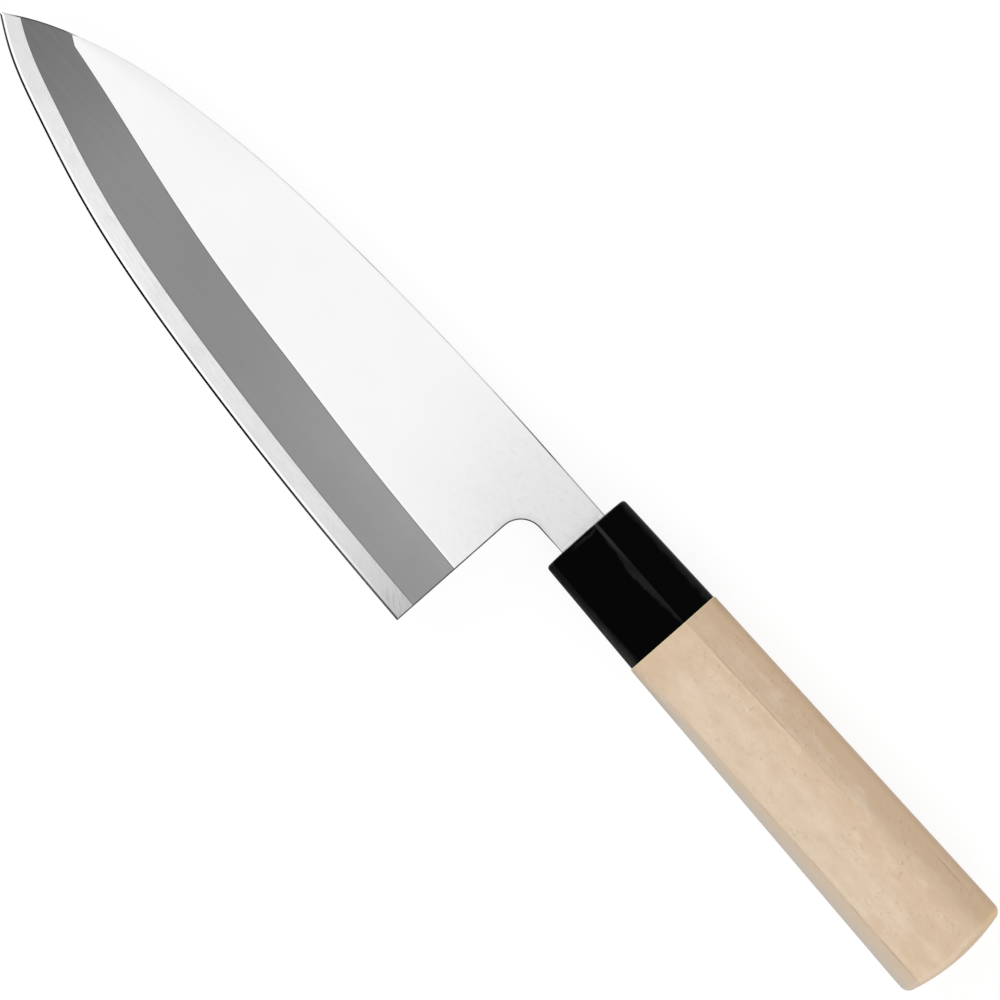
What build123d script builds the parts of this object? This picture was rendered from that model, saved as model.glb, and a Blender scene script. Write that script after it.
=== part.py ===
from build123d import *
import os

os.makedirs("parts", exist_ok=True)

# A single-bevelled fish knife with a hidden tang, lying on its handle with the bevelled face up.
# Lengths are in millimetres. Places along the knife count from the ferrule's mouth: the blade lies on
# the minus side, the handle on the plus side. Heights across the knife count from the handle's axis,
# plus towards the spine and minus towards the edge. Thickness counts from the handle's middle plane.

# Blade outline
blade_reach = 194.0
tip_drop = 23.6
spine_rise = 6.5
spine_straight = 25.0
heel_setback = 15.3
heel_drop = 49.5
choil_radius = 6.2
neck_drop = 7.5
neck_flare = 0.4

# Where the spine falls to the tip: along its run, and down its drop
spine_run_shares = (0.213, 0.390, 0.568, 0.710, 0.817, 0.905, 0.959)
spine_drop_shares = (0.027, 0.082, 0.178, 0.314, 0.467, 0.668, 0.835)
spine_tip_slope = 0.75

# Where the edge rises to the tip: along its run from the heel, and up its rise
edge_run_shares = (0.189, 0.390, 0.558, 0.726, 0.860, 0.961)
edge_rise_shares = (0.033, 0.112, 0.214, 0.391, 0.619, 0.856)

# Blade thickness and the faces ground on its upper side: bevel, edge strip and micro-bevel
neck_thickness = 5.2
neck_gap = 0.4
tip_thickness = 2.1
eased_edge = 0.35
bevel_height = 19.2
bevel_corner_gap = 18.8
bevel_corner_drop = 2.9
bevel_end_gap = 15.9
bevel_run_shares = (0.211, 0.398, 0.586, 0.774, 0.950)
bevel_rise_shares = (0.082, 0.215, 0.364, 0.628, 0.928)
strip_height = 5.4
strip_thickness_share = 0.37
micro_height = 0.3
micro_thickness = 0.4
edge_land = 0.1

# Hollow in the back of the blade: how deep it is at places along it, as shares
hollow_depth = 0.4
hollow_rim = 1.4
hollow_rim_drop = 0.03
hollow_heel_gap = 8.0
hollow_tip_gap = 12.0
hollow_place_shares = (0, 0.06, 0.14, 0.26, 0.42, 0.58, 0.74, 0.88, 1)
hollow_depth_shares = (-0.5, 0.35, 0.8, 1, 1, 1, 1, 1, -1)

# Tang
tang_length = 100.0
tang_neck_length = 6.0
tang_height_front = 11.0
tang_height_end = 7.0
tang_thickness_end = 3.0
tang_back_rise = 0.7

# Handle outline: its reach above and below its axis, and half its thickness
mouth_above = 12.6
mouth_below = 12.95
mouth_half_thickness = 10.5
collar_above = 13.35
collar_below = 13.75
collar_half_thickness = 11.2
grip_above = 13.65
grip_below = 14.15
grip_half_thickness = 11.5
butt_above = 15.2
butt_below = 15.9
butt_half_thickness = 12.6
handle_length = 140.0
ferrule_length = 32.2
butt_parallel = 8.0

# Handle section: a ridge on the bevelled side between an upper and a lower shoulder
shoulder_share = 0.41
mouth_ridge_offset = 3.8
mouth_ridge_round = 0.6
mouth_upper_round = 4.3
mouth_lower_round = 3.4
joint_ridge_offset = 4.0
joint_ridge_round = 0.9
joint_upper_round = 4.6
joint_lower_round = 3.8
butt_ridge_offset = 6.5
butt_ridge_round = 7.0
butt_upper_round = 5.3
butt_lower_round = 5.0

# Ferrule's mouth, the butt and the joint between ferrule and grip
mouth_dome = 1.05
mouth_dome_radius = 190.0
mouth_round = 0.9
butt_dome_radius = 54.0
butt_round = 1.8
joint_ease = 0.25

# Inside the handle
mouth_wall = 4.0
ferrule_wall = 2.6
glue_gap = 0.1
slot_clearance = 0.3
slot_round = 0.8
bore_clearance_front = 1.2
bore_clearance_end = 0.8
bore_round = 1.2
bore_end_gap = 3.0
bedding_recess = 0.5

# How far a cutting shape runs past what it cuts
overrun = 3.0

# How many sections each ground surface runs through, and how finely a curve is searched
heel_cuts = 12
tip_cuts = 6
halvings = 40


def between(start, end, share):
    """The value that lies a share of the way from start to end."""
    return start + (end - start) * share


# The frame stands at the middle of the whole knife's box, on the surface that it lies on.
middle_along = (handle_length - blade_reach) / 2
middle_across = (butt_above - heel_drop) / 2
knife = Plane(origin=(-middle_along, -middle_across, butt_half_thickness))
blade_back = -neck_thickness / 2
neck_start = -mouth_dome - neck_gap
tang_back_end = blade_back + tang_back_rise


def spot(along, across, up):
    """A place on the knife, in the frame of the whole part."""
    return knife.from_local_coords(Vector(along, across, up))


def station(along):
    """The plane across the knife at one place: its first axis runs across, its second up."""
    return Plane(origin=spot(along, 0, 0), x_dir=(0, 1, 0), z_dir=(1, 0, 0))


def outline_points(start, end, run_shares, rise_shares):
    """Points from start to end, placed by shares of the run between them and of the rise."""
    points = [start]
    for run, rise in zip(run_shares, rise_shares):
        points.append((between(start[0], end[0], run), between(start[1], end[1], rise)))
    return points + [end]


def height_at(curve, along):
    """Height of a curve at one place along the knife. It runs on straight past its two ends."""
    for end, outwards in ((0, 1), (1, -1)):
        point = curve @ end
        slope = curve % end
        if (along - point.X) * outwards >= 0:
            return point.Y + (along - point.X) * slope.Y / slope.X
    low, high = 0, 1
    for halving in range(halvings):
        middle = (low + high) / 2
        if (curve @ middle).X > along:
            low = middle
        else:
            high = middle
    return (curve @ low).Y


# Blade outline, in the plane of the knife
tip = (-blade_reach, -tip_drop)
heel = (-heel_setback, -heel_drop)
spine_start = (-spine_straight, spine_rise)
spine_points = outline_points(spine_start, tip, spine_run_shares, spine_drop_shares)
spine_tangents = ((-1, 0), (-1, -spine_tip_slope))
edge_points = outline_points(heel, tip, edge_run_shares, edge_rise_shares)
spine_curve = Spline(*spine_points, tangents=spine_tangents, mode=Mode.PRIVATE)
edge_curve = Spline(*edge_points, mode=Mode.PRIVATE)

# The bevel's line runs from the heel to a corner near the tip, and there turns up to the spine.
bevel_heel = (-heel_setback, bevel_height - heel_drop)
bevel_corner_along = bevel_corner_gap - blade_reach
bevel_corner = (bevel_corner_along, height_at(spine_curve, bevel_corner_along) - bevel_corner_drop)
bevel_end_along = bevel_end_gap - blade_reach
bevel_end = (bevel_end_along, height_at(spine_curve, bevel_end_along))
bevel_points = outline_points(bevel_heel, bevel_corner, bevel_run_shares, bevel_rise_shares)
bevel_curve = Spline(*bevel_points, mode=Mode.PRIVATE)


def face_height(along):
    """Height of the blade's flat upper face, which thins evenly from the neck to the tip."""
    share = (neck_start - along) / (neck_start + blade_reach)
    return blade_back + between(neck_thickness, tip_thickness, share)


def bevel_line(along):
    """Height across the knife of the line where the flat face turns into the bevel."""
    if along < bevel_corner[0]:
        share = (along - bevel_corner[0]) / (bevel_end[0] - bevel_corner[0])
        return between(bevel_corner[1], bevel_end[1], share)
    return height_at(bevel_curve, along)


def ground_section(along):
    """What grinding takes off the upper side at one place: bevel, strip and micro-bevel."""
    top = face_height(along)
    line = bevel_line(along)
    edge = height_at(edge_curve, along)
    strip = edge + strip_height
    strip_up = between(blade_back, top, strip_thickness_share)
    bevel_slope = (top - strip_up) / (line - strip)
    micro_slope = (micro_thickness - edge_land) / micro_height
    return (
        (line + overrun / bevel_slope, top + overrun),
        (strip, strip_up),
        (edge + micro_height, blade_back + micro_thickness),
        (edge - overrun, blade_back + edge_land - overrun * micro_slope),
        (edge - overrun, top + overrun),
    )


def hollow_section(along, depth_share):
    """The hollow in the back at one place: its low end, its deepest point and its high end."""
    low = height_at(edge_curve, along) + hollow_rim
    high = height_at(spine_curve, along) - hollow_rim
    width_share = (high - low) / (heel_drop + spine_rise)
    peak = blade_back + hollow_depth * depth_share * width_share**2
    rim = blade_back - hollow_rim_drop
    return (low, rim), ((low + high) / 2, peak), (high, rim)


heel_stretch = (-heel_setback + overrun, bevel_corner_along, heel_cuts)
tip_stretch = (bevel_corner_along, -blade_reach - overrun, tip_cuts)
hollow_start = -heel_setback - hollow_heel_gap
hollow_end = -blade_reach + hollow_tip_gap

# Blade and tang
with BuildPart() as blade:
    neck_end = (tang_neck_length, -neck_drop)
    choil_corner = (-heel_setback, -neck_drop - neck_flare)
    with BuildSketch(knife.offset(blade_back)):
        with BuildLine():
            Spline(*spine_points, tangents=spine_tangents)
            Polyline(
                spine_start,
                (tang_neck_length, spine_rise),
                (tang_neck_length, tang_height_front / 2),
                (tang_length, tang_height_end / 2),
                (tang_length, -tang_height_end / 2),
                (tang_neck_length, -tang_height_front / 2),
                neck_end,
            )
            FilletPolyline(neck_end, choil_corner, heel, radius=choil_radius)
            Spline(*edge_points)
        make_face()
    extrude(amount=neck_thickness * 2)
    with BuildSketch(Plane(origin=spot(0, 0, 0), x_dir=(1, 0, 0), z_dir=(0, -1, 0))):
        with BuildLine():
            Polyline(
                (-blade_reach - overrun, blade_back),
                (-blade_reach - overrun, face_height(-blade_reach - overrun)),
                (neck_start, blade_back + neck_thickness),
                (tang_neck_length, blade_back + neck_thickness),
                (tang_length, tang_back_end + tang_thickness_end),
                (tang_length, tang_back_end),
                (neck_start, blade_back),
                close=True,
            )
        make_face()
    extrude(amount=blade_reach, both=True, mode=Mode.INTERSECT)

    # The upper edges are eased along the spine, neck, choil and heel, but not along the cutting edge.
    flat = blade.faces().filter_by(lambda face: face.normal_at().Z > 0).sort_by(SortBy.AREA)[-1]
    neck_top = blade.faces().filter_by(Axis.Z).sort_by(Axis.Z)[-1]
    flat_edges = flat.edges().sort_by(Axis.Y)[1:].sort_by(Axis.X)[:-1]
    neck_edges = neck_top.edges().sort_by(Axis.X)[1:3]
    chamfer(flat_edges + neck_edges, length=eased_edge)

    # The upper side is ground in two passes, which meet where the bevel's line turns to the spine.
    for start, end, cuts in (heel_stretch, tip_stretch):
        for cut in range(cuts + 1):
            with BuildSketch(station(between(start, end, cut / cuts))):
                with BuildLine():
                    Polyline(*ground_section(between(start, end, cut / cuts)), close=True)
                make_face()
        loft(mode=Mode.SUBTRACT)

    # The back is ground hollow, and the rim round the hollow stays flat.
    for place, depth_share in zip(hollow_place_shares, hollow_depth_shares):
        along = between(hollow_start, hollow_end, place)
        low, peak, high = hollow_section(along, depth_share)
        below = blade_back - overrun
        with BuildSketch(station(along)):
            with BuildLine():
                ThreePointArc(low, peak, high)
                Polyline(high, (high[0], below), (low[0], below), low)
            make_face()
    loft(mode=Mode.SUBTRACT)

mouth_sizes = (
    mouth_above,
    mouth_below,
    mouth_half_thickness,
    mouth_ridge_offset,
    mouth_ridge_round,
    mouth_upper_round,
    mouth_lower_round,
)
collar_sizes = (
    collar_above,
    collar_below,
    collar_half_thickness,
    joint_ridge_offset,
    joint_ridge_round,
    joint_upper_round,
    joint_lower_round,
)
grip_sizes = (
    grip_above,
    grip_below,
    grip_half_thickness,
    joint_ridge_offset,
    joint_ridge_round,
    joint_upper_round,
    joint_lower_round,
)
butt_sizes = (
    butt_above,
    butt_below,
    butt_half_thickness,
    butt_ridge_offset,
    butt_ridge_round,
    butt_upper_round,
    butt_lower_round,
)


def handle_section(along, sizes, inset=0):
    """The handle's section: a rounded back, and two flanks that meet in a ridge."""
    above, below, half, ridge, ridge_round, upper_round, lower_round = sizes
    inner = (half - inset) / half
    shoulder = (half - inset) * shoulder_share
    with BuildSketch(station(along)) as section:
        with BuildLine():
            FilletPolyline(
                (inset - below, 0),
                (inset - below, shoulder),
                (ridge, half - inset),
                (above - inset, shoulder),
                (above - inset, 0),
                radius=(lower_round * inner, ridge_round * inner, upper_round * inner),
            )
            EllipticalCenterArc(
                center=((above - below) / 2, 0),
                x_radius=(above + below) / 2 - inset,
                y_radius=half - inset,
                start_angle=180,
                arc_size=180,
            )
        make_face()
    return section.sketch


def collar_section(along, inset=0):
    """The handle's section at one place along the ferrule."""
    share = along / ferrule_length
    sizes = [between(front, rear, share) for front, rear in zip(mouth_sizes, collar_sizes)]
    return handle_section(along, sizes, inset)


def slot_section(along, height, thickness, middle, corner):
    """A rounded slot across the knife, as high and as thick as it has to be for the tang."""
    with BuildSketch(station(along)) as section:
        with Locations(middle):
            RectangleRounded(height, thickness, corner)
    return section.sketch


# The slot in the ferrule's mouth and the hole for the tang, which narrows to its end
neck_middle = ((spine_rise - neck_drop) / 2, 0)
slot_height = spine_rise + neck_drop + slot_clearance * 2
slot_thickness = neck_thickness + slot_clearance * 2
bore_height = spine_rise + neck_drop + bore_clearance_front
bore_thickness = neck_thickness + bore_clearance_front
bore_end_middle = (0, tang_back_end + tang_thickness_end / 2)
bore_end_height = tang_height_end + bore_clearance_end
bore_end_thickness = tang_thickness_end + bore_clearance_end
bore_end = tang_length + bore_end_gap

with BuildPart() as slot_shape:
    add(slot_section(bedding_recess - mouth_dome, slot_height, slot_thickness, neck_middle, slot_round))
    extrude(amount=mouth_wall - bedding_recess + mouth_dome, dir=(1, 0, 0))

with BuildPart() as bore_shape:
    add(slot_section(mouth_wall, bore_height, bore_thickness, neck_middle, bore_round))
    add(slot_section(bore_end, bore_end_height, bore_end_thickness, bore_end_middle, bore_round))
    loft(ruled=True)

# Resin that beds the tang: it fills the slot and the hole round the steel
with BuildPart() as tang_bedding:
    add(slot_shape.part)
    add(bore_shape.part)
    add(blade.part, mode=Mode.SUBTRACT)

# Ferrule: a collar with a domed mouth, a slot for the neck and a hollow for the tenon
with BuildPart() as ferrule:
    add(collar_section(-overrun))
    add(collar_section(ferrule_length))
    loft(ruled=True)
    with Locations(spot(mouth_dome_radius - mouth_dome, 0, 0)):
        Sphere(mouth_dome_radius, mode=Mode.INTERSECT)
    fillet(ferrule.faces().sort_by(Axis.X)[0].edges(), radius=mouth_round)
    add(collar_section(mouth_wall, ferrule_wall))
    add(collar_section(ferrule_length + overrun, ferrule_wall))
    loft(ruled=True, mode=Mode.SUBTRACT)
    add(slot_section(-overrun, slot_height, slot_thickness, neck_middle, slot_round))
    extrude(amount=mouth_wall + overrun * 2, dir=(1, 0, 0), mode=Mode.SUBTRACT)

# What is turned off the end of the grip, to leave its domed butt
with BuildPart() as butt_waste:
    with Locations(spot(handle_length, 0, 0)):
        Box(butt_parallel * 2, butt_below * 4, butt_below * 4)
    with Locations(spot(handle_length - butt_dome_radius, 0, 0)):
        Sphere(butt_dome_radius, rotation=(0, 0, 180), mode=Mode.SUBTRACT)

# Grip: pale wood with a tenon under the ferrule, the hole for the tang and a domed butt
with BuildPart() as grip:
    add(handle_section(ferrule_length, grip_sizes))
    add(handle_section(handle_length - butt_parallel, butt_sizes))
    loft(ruled=True)
    add(handle_section(handle_length - butt_parallel, butt_sizes))
    extrude(amount=butt_parallel + overrun, dir=(1, 0, 0))
    add(butt_waste.part, mode=Mode.SUBTRACT)
    fillet(grip.faces().sort_by(Axis.X)[-1].edges(), radius=butt_round)
    chamfer(grip.faces().sort_by(Axis.X)[0].edges(), length=joint_ease)
    add(collar_section(mouth_wall + glue_gap, ferrule_wall + glue_gap))
    add(collar_section(ferrule_length, ferrule_wall + glue_gap))
    loft(ruled=True)
    add(bore_shape.part, mode=Mode.SUBTRACT)

blade.part.label = "blade"
export_step(blade.part, "parts/blade.step")
ferrule.part.label = "ferrule"
export_step(ferrule.part, "parts/ferrule.step")
grip.part.label = "grip"
export_step(grip.part, "parts/grip.step")
tang_bedding.part.label = "tang_bedding"
export_step(tang_bedding.part, "parts/tang_bedding.step")
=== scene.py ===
import math

import bmesh
import bpy
import numpy as np
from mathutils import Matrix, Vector
from mathutils.geometry import delaunay_2d_cdt


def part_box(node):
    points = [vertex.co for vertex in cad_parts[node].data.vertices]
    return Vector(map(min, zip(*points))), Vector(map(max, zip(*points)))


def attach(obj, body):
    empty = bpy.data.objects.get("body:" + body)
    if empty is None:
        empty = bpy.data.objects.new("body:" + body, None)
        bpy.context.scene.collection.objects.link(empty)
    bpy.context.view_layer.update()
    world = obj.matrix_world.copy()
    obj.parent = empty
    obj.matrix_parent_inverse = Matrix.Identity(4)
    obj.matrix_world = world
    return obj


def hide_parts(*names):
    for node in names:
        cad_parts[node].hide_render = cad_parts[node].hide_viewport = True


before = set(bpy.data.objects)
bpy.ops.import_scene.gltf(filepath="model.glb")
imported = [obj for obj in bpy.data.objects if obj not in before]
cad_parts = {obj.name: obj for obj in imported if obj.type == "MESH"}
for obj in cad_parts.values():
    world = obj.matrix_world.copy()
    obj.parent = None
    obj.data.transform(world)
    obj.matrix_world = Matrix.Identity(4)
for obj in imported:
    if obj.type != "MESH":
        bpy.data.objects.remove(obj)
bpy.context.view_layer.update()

# A single-bevelled fish knife, lying on its handle with the bevelled face up. Lengths are in metres.
# Along the knife, places count from the ferrule's mouth: the blade lies on the minus side. Across it,
# they count from the handle's axis towards the spine. Up, they count from the handle's middle plane.

# Handle outline: its reach above and below its axis, and half its thickness
mouth_above = 0.0126
mouth_below = 0.01295
mouth_half = 0.0105
collar_above = 0.01335
collar_below = 0.01375
collar_half = 0.0112
grip_above = 0.01365
grip_below = 0.01415
grip_half = 0.0115
butt_above = 0.0152
butt_below = 0.0159
butt_half = 0.0126
handle_length = 0.14
ferrule_length = 0.0322
butt_parallel = 0.008
shoulder_share = 0.41

# Ferrule's mouth, the joint and the butt
mouth_dome = 0.00105
mouth_dome_radius = 0.19
mouth_round = 0.0009
mouth_wall = 0.004
ferrule_wall = 0.0026
joint_ease = 0.00025
butt_dome_radius = 0.054
butt_round = 0.0018

# The slot in the ferrule and the hole for the tang
neck_drop = 0.0075
spine_rise = 0.0065
slot_clearance = 0.0003
slot_round = 0.0008
bore_clearance_front = 0.0012
bore_clearance_end = 0.0008
bore_round = 0.0012
bore_end_gap = 0.003
glue_gap = 0.0001

# Blade outline
blade_reach = 0.194
tip_drop = 0.0236
spine_straight = 0.025
spine_tip_slope = 0.75
heel_setback = 0.0153
heel_drop = 0.0495
choil_radius = 0.0062
neck_flare = 0.0004
tang_neck_length = 0.006
tang_length = 0.1
tang_height_front = 0.011
tang_height_end = 0.007
tang_thickness_end = 0.003
tang_back_rise = 0.0007
spine_run_shares = (0.213, 0.390, 0.568, 0.710, 0.817, 0.905, 0.959)
spine_drop_shares = (0.027, 0.082, 0.178, 0.314, 0.467, 0.668, 0.835)
edge_run_shares = (0.189, 0.390, 0.558, 0.726, 0.860, 0.961)
edge_rise_shares = (0.033, 0.112, 0.214, 0.391, 0.619, 0.856)

# Blade thickness, the bevel with the strip and the micro-bevel below it, and the hollow back
neck_thickness = 0.0052
neck_gap = 0.0004
tip_thickness = 0.0021
eased_edge = 0.00035
eased_zone_share = 0.7
eased_depth_share = 0.6
bevel_height = 0.0192
bevel_corner_gap = 0.0188
bevel_corner_drop = 0.0029
bevel_end_gap = 0.0159
bevel_run_shares = (0.211, 0.398, 0.586, 0.774, 0.950)
bevel_rise_shares = (0.082, 0.215, 0.364, 0.628, 0.928)
strip_height = 0.0054
strip_thickness_share = 0.37
micro_height = 0.00055
micro_thickness = 0.00045
edge_land = 0.0001
hollow_depth = 0.0004
hollow_rim = 0.0014
hollow_rim_drop = 0.00003
hollow_heel_gap = 0.008
hollow_tip_gap = 0.012
hollow_place_shares = (0, 0.06, 0.14, 0.26, 0.42, 0.58, 0.74, 0.88, 1)
hollow_depth_shares = (-0.5, 0.35, 0.8, 1, 1, 1, 1, 1, -1)

# How finely the blade and the handle are divided
edge_step = 0.001
face_step = 0.004
back_step = 0.003
line_margin = 0.001
choil_steps = 14
section_corner_steps = 9
section_back_steps = 40
round_steps = 8
side_spans = 14
mouth_ring_shares = (0.66, 0.33)
collar_ring_places = (1, 3, 5, 7)
butt_ring_shares = (0.12, 0.26, 0.42, 0.6, 0.8, 1)
weld = 0.000002

# Faces that meet at more than these angles are shaded with a crisp line between them
blade_crisp_angle = math.radians(28)
ferrule_crisp_angle = math.radians(40)
grip_crisp_angle = math.radians(32)

# The camera of the photograph looks straight down, turned about the vertical
camera_turn = math.radians(48.6)
camera_lens = 1200
camera_sensor = 36
view_width = 0.24826
view_middle = (-0.02085, -0.01055)

# Where the knife's own frame stands in the frame of the whole part
grip_low, grip_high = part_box("grip")
mouth_at = grip_low.x - mouth_wall - glue_gap
knife_place = Vector((mouth_at, grip_high.y - butt_above, grip_low.z + butt_half))
butt_end = grip_high.x - knife_place.x
blade_back = -neck_thickness / 2
neck_start = -mouth_dome - neck_gap
tang_back_end = blade_back + tang_back_rise


def between(start, end, share):
    """The value that lies a share of the way from start to end."""
    return start + (end - start) * share


class Tree:
    """Adds nodes to a node tree and links them as they are used."""

    def __init__(self, tree):
        self.tree = tree

    def feed(self, socket, value):
        if isinstance(value, bpy.types.NodeSocket):
            self.tree.links.new(value, socket)
        else:
            socket.default_value = value

    def add(self, kind, inputs=None, **settings):
        node = self.tree.nodes.new(kind)
        for name, value in settings.items():
            setattr(node, name, value)
        for key, value in (inputs or {}).items():
            self.feed(node.inputs[key], value)
        return node

    def maths(self, operation, *values, clamp=False):
        inputs = dict(enumerate(values))
        return self.add("ShaderNodeMath", inputs, operation=operation, use_clamp=clamp).outputs[0]

    def plus(self, first, second):
        return self.maths("ADD", first, second)

    def minus(self, first, second, clamp=False):
        return self.maths("SUBTRACT", first, second, clamp=clamp)

    def times(self, first, second):
        return self.maths("MULTIPLY", first, second)

    def over(self, first, second):
        return self.maths("DIVIDE", first, second)

    def scaled(self, value, scale, offset):
        """The value times the scale, with the offset added."""
        return self.maths("MULTIPLY_ADD", value, scale, offset)

    def whole(self, operation, *values):
        """Maths on whole numbers."""
        inputs = dict(enumerate(values))
        return self.add("FunctionNodeIntegerMath", inputs, operation=operation).outputs[0]

    def mix(self, factor, start, end):
        """A number between two others. It runs on past them where the factor does."""
        inputs = {0: factor, 2: start, 3: end}
        return self.add("ShaderNodeMix", inputs, clamp_factor=False).outputs[0]

    def vector(self, x=0.0, y=0.0, z=0.0):
        return self.add("ShaderNodeCombineXYZ", {0: x, 1: y, 2: z}).outputs[0]

    def parts(self, vector):
        return self.add("ShaderNodeSeparateXYZ", {0: vector}).outputs


# The handle is made as one wall that follows a side path round the handle's D-shaped section.

# Each size of the section: at the ferrule's mouth and its end, and at the grip's start and its butt
section_sizes = {
    "Above": (mouth_above, collar_above, grip_above, butt_above),
    "Below": (mouth_below, collar_below, grip_below, butt_below),
    "Half Thickness": (mouth_half, collar_half, grip_half, butt_half),
    "Ridge Offset": (0.0038, 0.004, 0.004, 0.0065),
    "Ridge Round": (0.0005, 0.0007, 0.0009, 0.0081),
    "Upper Round": (0.0043, 0.0046, 0.0046, 0.0053),
    "Lower Round": (0.0012, 0.0014, 0.0014, 0.0016),
    "Crown Width": (0.002, 0.0016, 0.003, 0.005),
    "Crown Drop": (0.00036, 0.0003, 0.0007, 0.00145),
    "Crown Round": (0.009, 0.006, 0.006, 0.009),
    "Facet Width": (0.0019, 0.0021, 0.0021, 0.0039),
    "Facet Drop": (0.0022, 0.0024, 0.0024, 0.0034),
}
section_names = tuple(section_sizes)
mouth_section, collar_section, grip_section, butt_section = zip(*section_sizes.values())
hole_names = ("At", "Height", "Thickness", "Across", "Up")
ends = ("Front", "Rear")


def number_inputs(tree, names, kind="NodeSocketFloat"):
    for name in names:
        tree.interface.new_socket(name=name, in_out="INPUT", socket_type=kind)


def section_group():
    """The handle's section: its ridged side and its round back, each as a curve."""
    tree = bpy.data.node_groups.new("D section", "GeometryNodeTree")
    number_inputs(tree, section_names + ("Shoulder Share",))
    number_inputs(tree, ("Corner Steps", "Back Steps"), "NodeSocketInt")
    for name in ("Ridged Side", "Round Back"):
        tree.interface.new_socket(name=name, in_out="OUTPUT", socket_type="NodeSocketGeometry")
    make = Tree(tree)
    given = make.add("NodeGroupInput").outputs
    index = make.add("GeometryNodeInputIndex").outputs[0]
    above, below, half = given["Above"], given["Below"], given["Half Thickness"]
    shoulder = make.times(half, given["Shoulder Share"])
    low = make.times(below, -1)

    # Seven corners, of which the middle five are rounded. The crown is a narrow slope below the ridge,
    # and the facet a steep one between the lower flank and the side.
    crown_across = make.minus(given["Ridge Offset"], given["Crown Width"])
    crown_up = make.minus(half, given["Crown Drop"])
    facet_share = make.over(given["Facet Width"], make.minus(crown_across, low))
    corners = (
        make.vector(low, 0),
        make.vector(low, make.minus(shoulder, given["Facet Drop"])),
        make.vector(make.plus(low, given["Facet Width"]), make.mix(facet_share, shoulder, crown_up)),
        make.vector(crown_across, crown_up),
        make.vector(given["Ridge Offset"], half),
        make.vector(above, shoulder),
        make.vector(above, 0),
    )
    names = ("Lower Round", "Lower Round", "Crown Round", "Ridge Round", "Upper Round")
    rounds = (0.0, *(given[name] for name in names), 0.0)
    place = make.add("GeometryNodeIndexSwitch", data_type="VECTOR")
    size = make.add("GeometryNodeIndexSwitch", data_type="FLOAT")
    for chooser, values in ((place, corners), (size, rounds)):
        while len(chooser.index_switch_items) < len(values):
            chooser.index_switch_items.new()
        make.feed(chooser.inputs[0], index)
        for number, value in enumerate(values):
            make.feed(chooser.inputs[number + 1], value)
    line = make.add("GeometryNodeMeshLine", {"Count": len(corners)})
    line = make.add("GeometryNodeSetPosition", {"Geometry": line.outputs[0], "Position": place.outputs[0]})
    curve = make.add("GeometryNodeMeshToCurve", {"Mesh": line.outputs[0]})
    rounding = {"Curve": curve.outputs[0], "Count": given["Corner Steps"], "Radius": size.outputs[0]}
    ridged = make.add("GeometryNodeFilletCurve", rounding, mode="POLY").outputs[0]

    # Half an ellipse closes the section, without the two ends that the ridged side has
    count = given["Back Steps"]
    steps = make.over(make.plus(index, 1), make.plus(count, 1))
    angle = make.times(steps, math.pi)
    middle = make.times(make.minus(above, below), 0.5)
    reach = make.times(make.plus(above, below), 0.5)
    across = make.scaled(make.maths("COSINE", angle), reach, middle)
    up = make.times(make.maths("SINE", angle), make.times(half, -1))
    back = make.add("GeometryNodeMeshLine", {"Count": count})
    inputs = {"Geometry": back.outputs[0], "Position": make.vector(across, up)}
    back = make.add("GeometryNodeSetPosition", inputs)
    back = make.add("GeometryNodeMeshToCurve", {"Mesh": back.outputs[0]}).outputs[0]
    make.add("NodeGroupOutput", {"Ridged Side": ridged, "Round Back": back})
    return tree


def handle_sockets(tree):
    """The named inputs of the handle's tree, and the piece that comes out."""
    tree.interface.new_socket(name="Side Path", in_out="INPUT", socket_type="NodeSocketGeometry")
    tree.interface.new_socket(name="Origin", in_out="INPUT", socket_type="NodeSocketVector")
    for end in ends:
        number_inputs(tree, [f"{end} {name}" for name in ("At",) + section_names])
        number_inputs(tree, [f"Hole {end} {name}" for name in hole_names])
    number_inputs(tree, ("Shoulder Share", "Hole Round", "Dome Radius"))
    number_inputs(tree, ("Corner Steps", "Back Steps"), "NodeSocketInt")
    tree.interface.new_socket(name="Finish", in_out="INPUT", socket_type="NodeSocketMaterial")
    tree.interface.new_socket(name="Piece", in_out="OUTPUT", socket_type="NodeSocketGeometry")


def closed_piece(make, given, grid, position):
    """The grid put in place and closed along its seams, as one plain mesh with its finish."""
    inputs = {"Geometry": grid, "Position": position, "Offset": given["Origin"]}
    shaped = make.add("GeometryNodeSetPosition", inputs).outputs[0]
    closed = make.add("GeometryNodeMergeByDistance", {"Geometry": shaped, "Distance": weld}).outputs[0]
    real = make.add("GeometryNodeRealizeInstances", {"Geometry": closed}).outputs[0]
    inputs = {"Geometry": real, "Material": given["Finish"]}
    return make.add("GeometryNodeSetMaterial", inputs).outputs[0]


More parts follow.
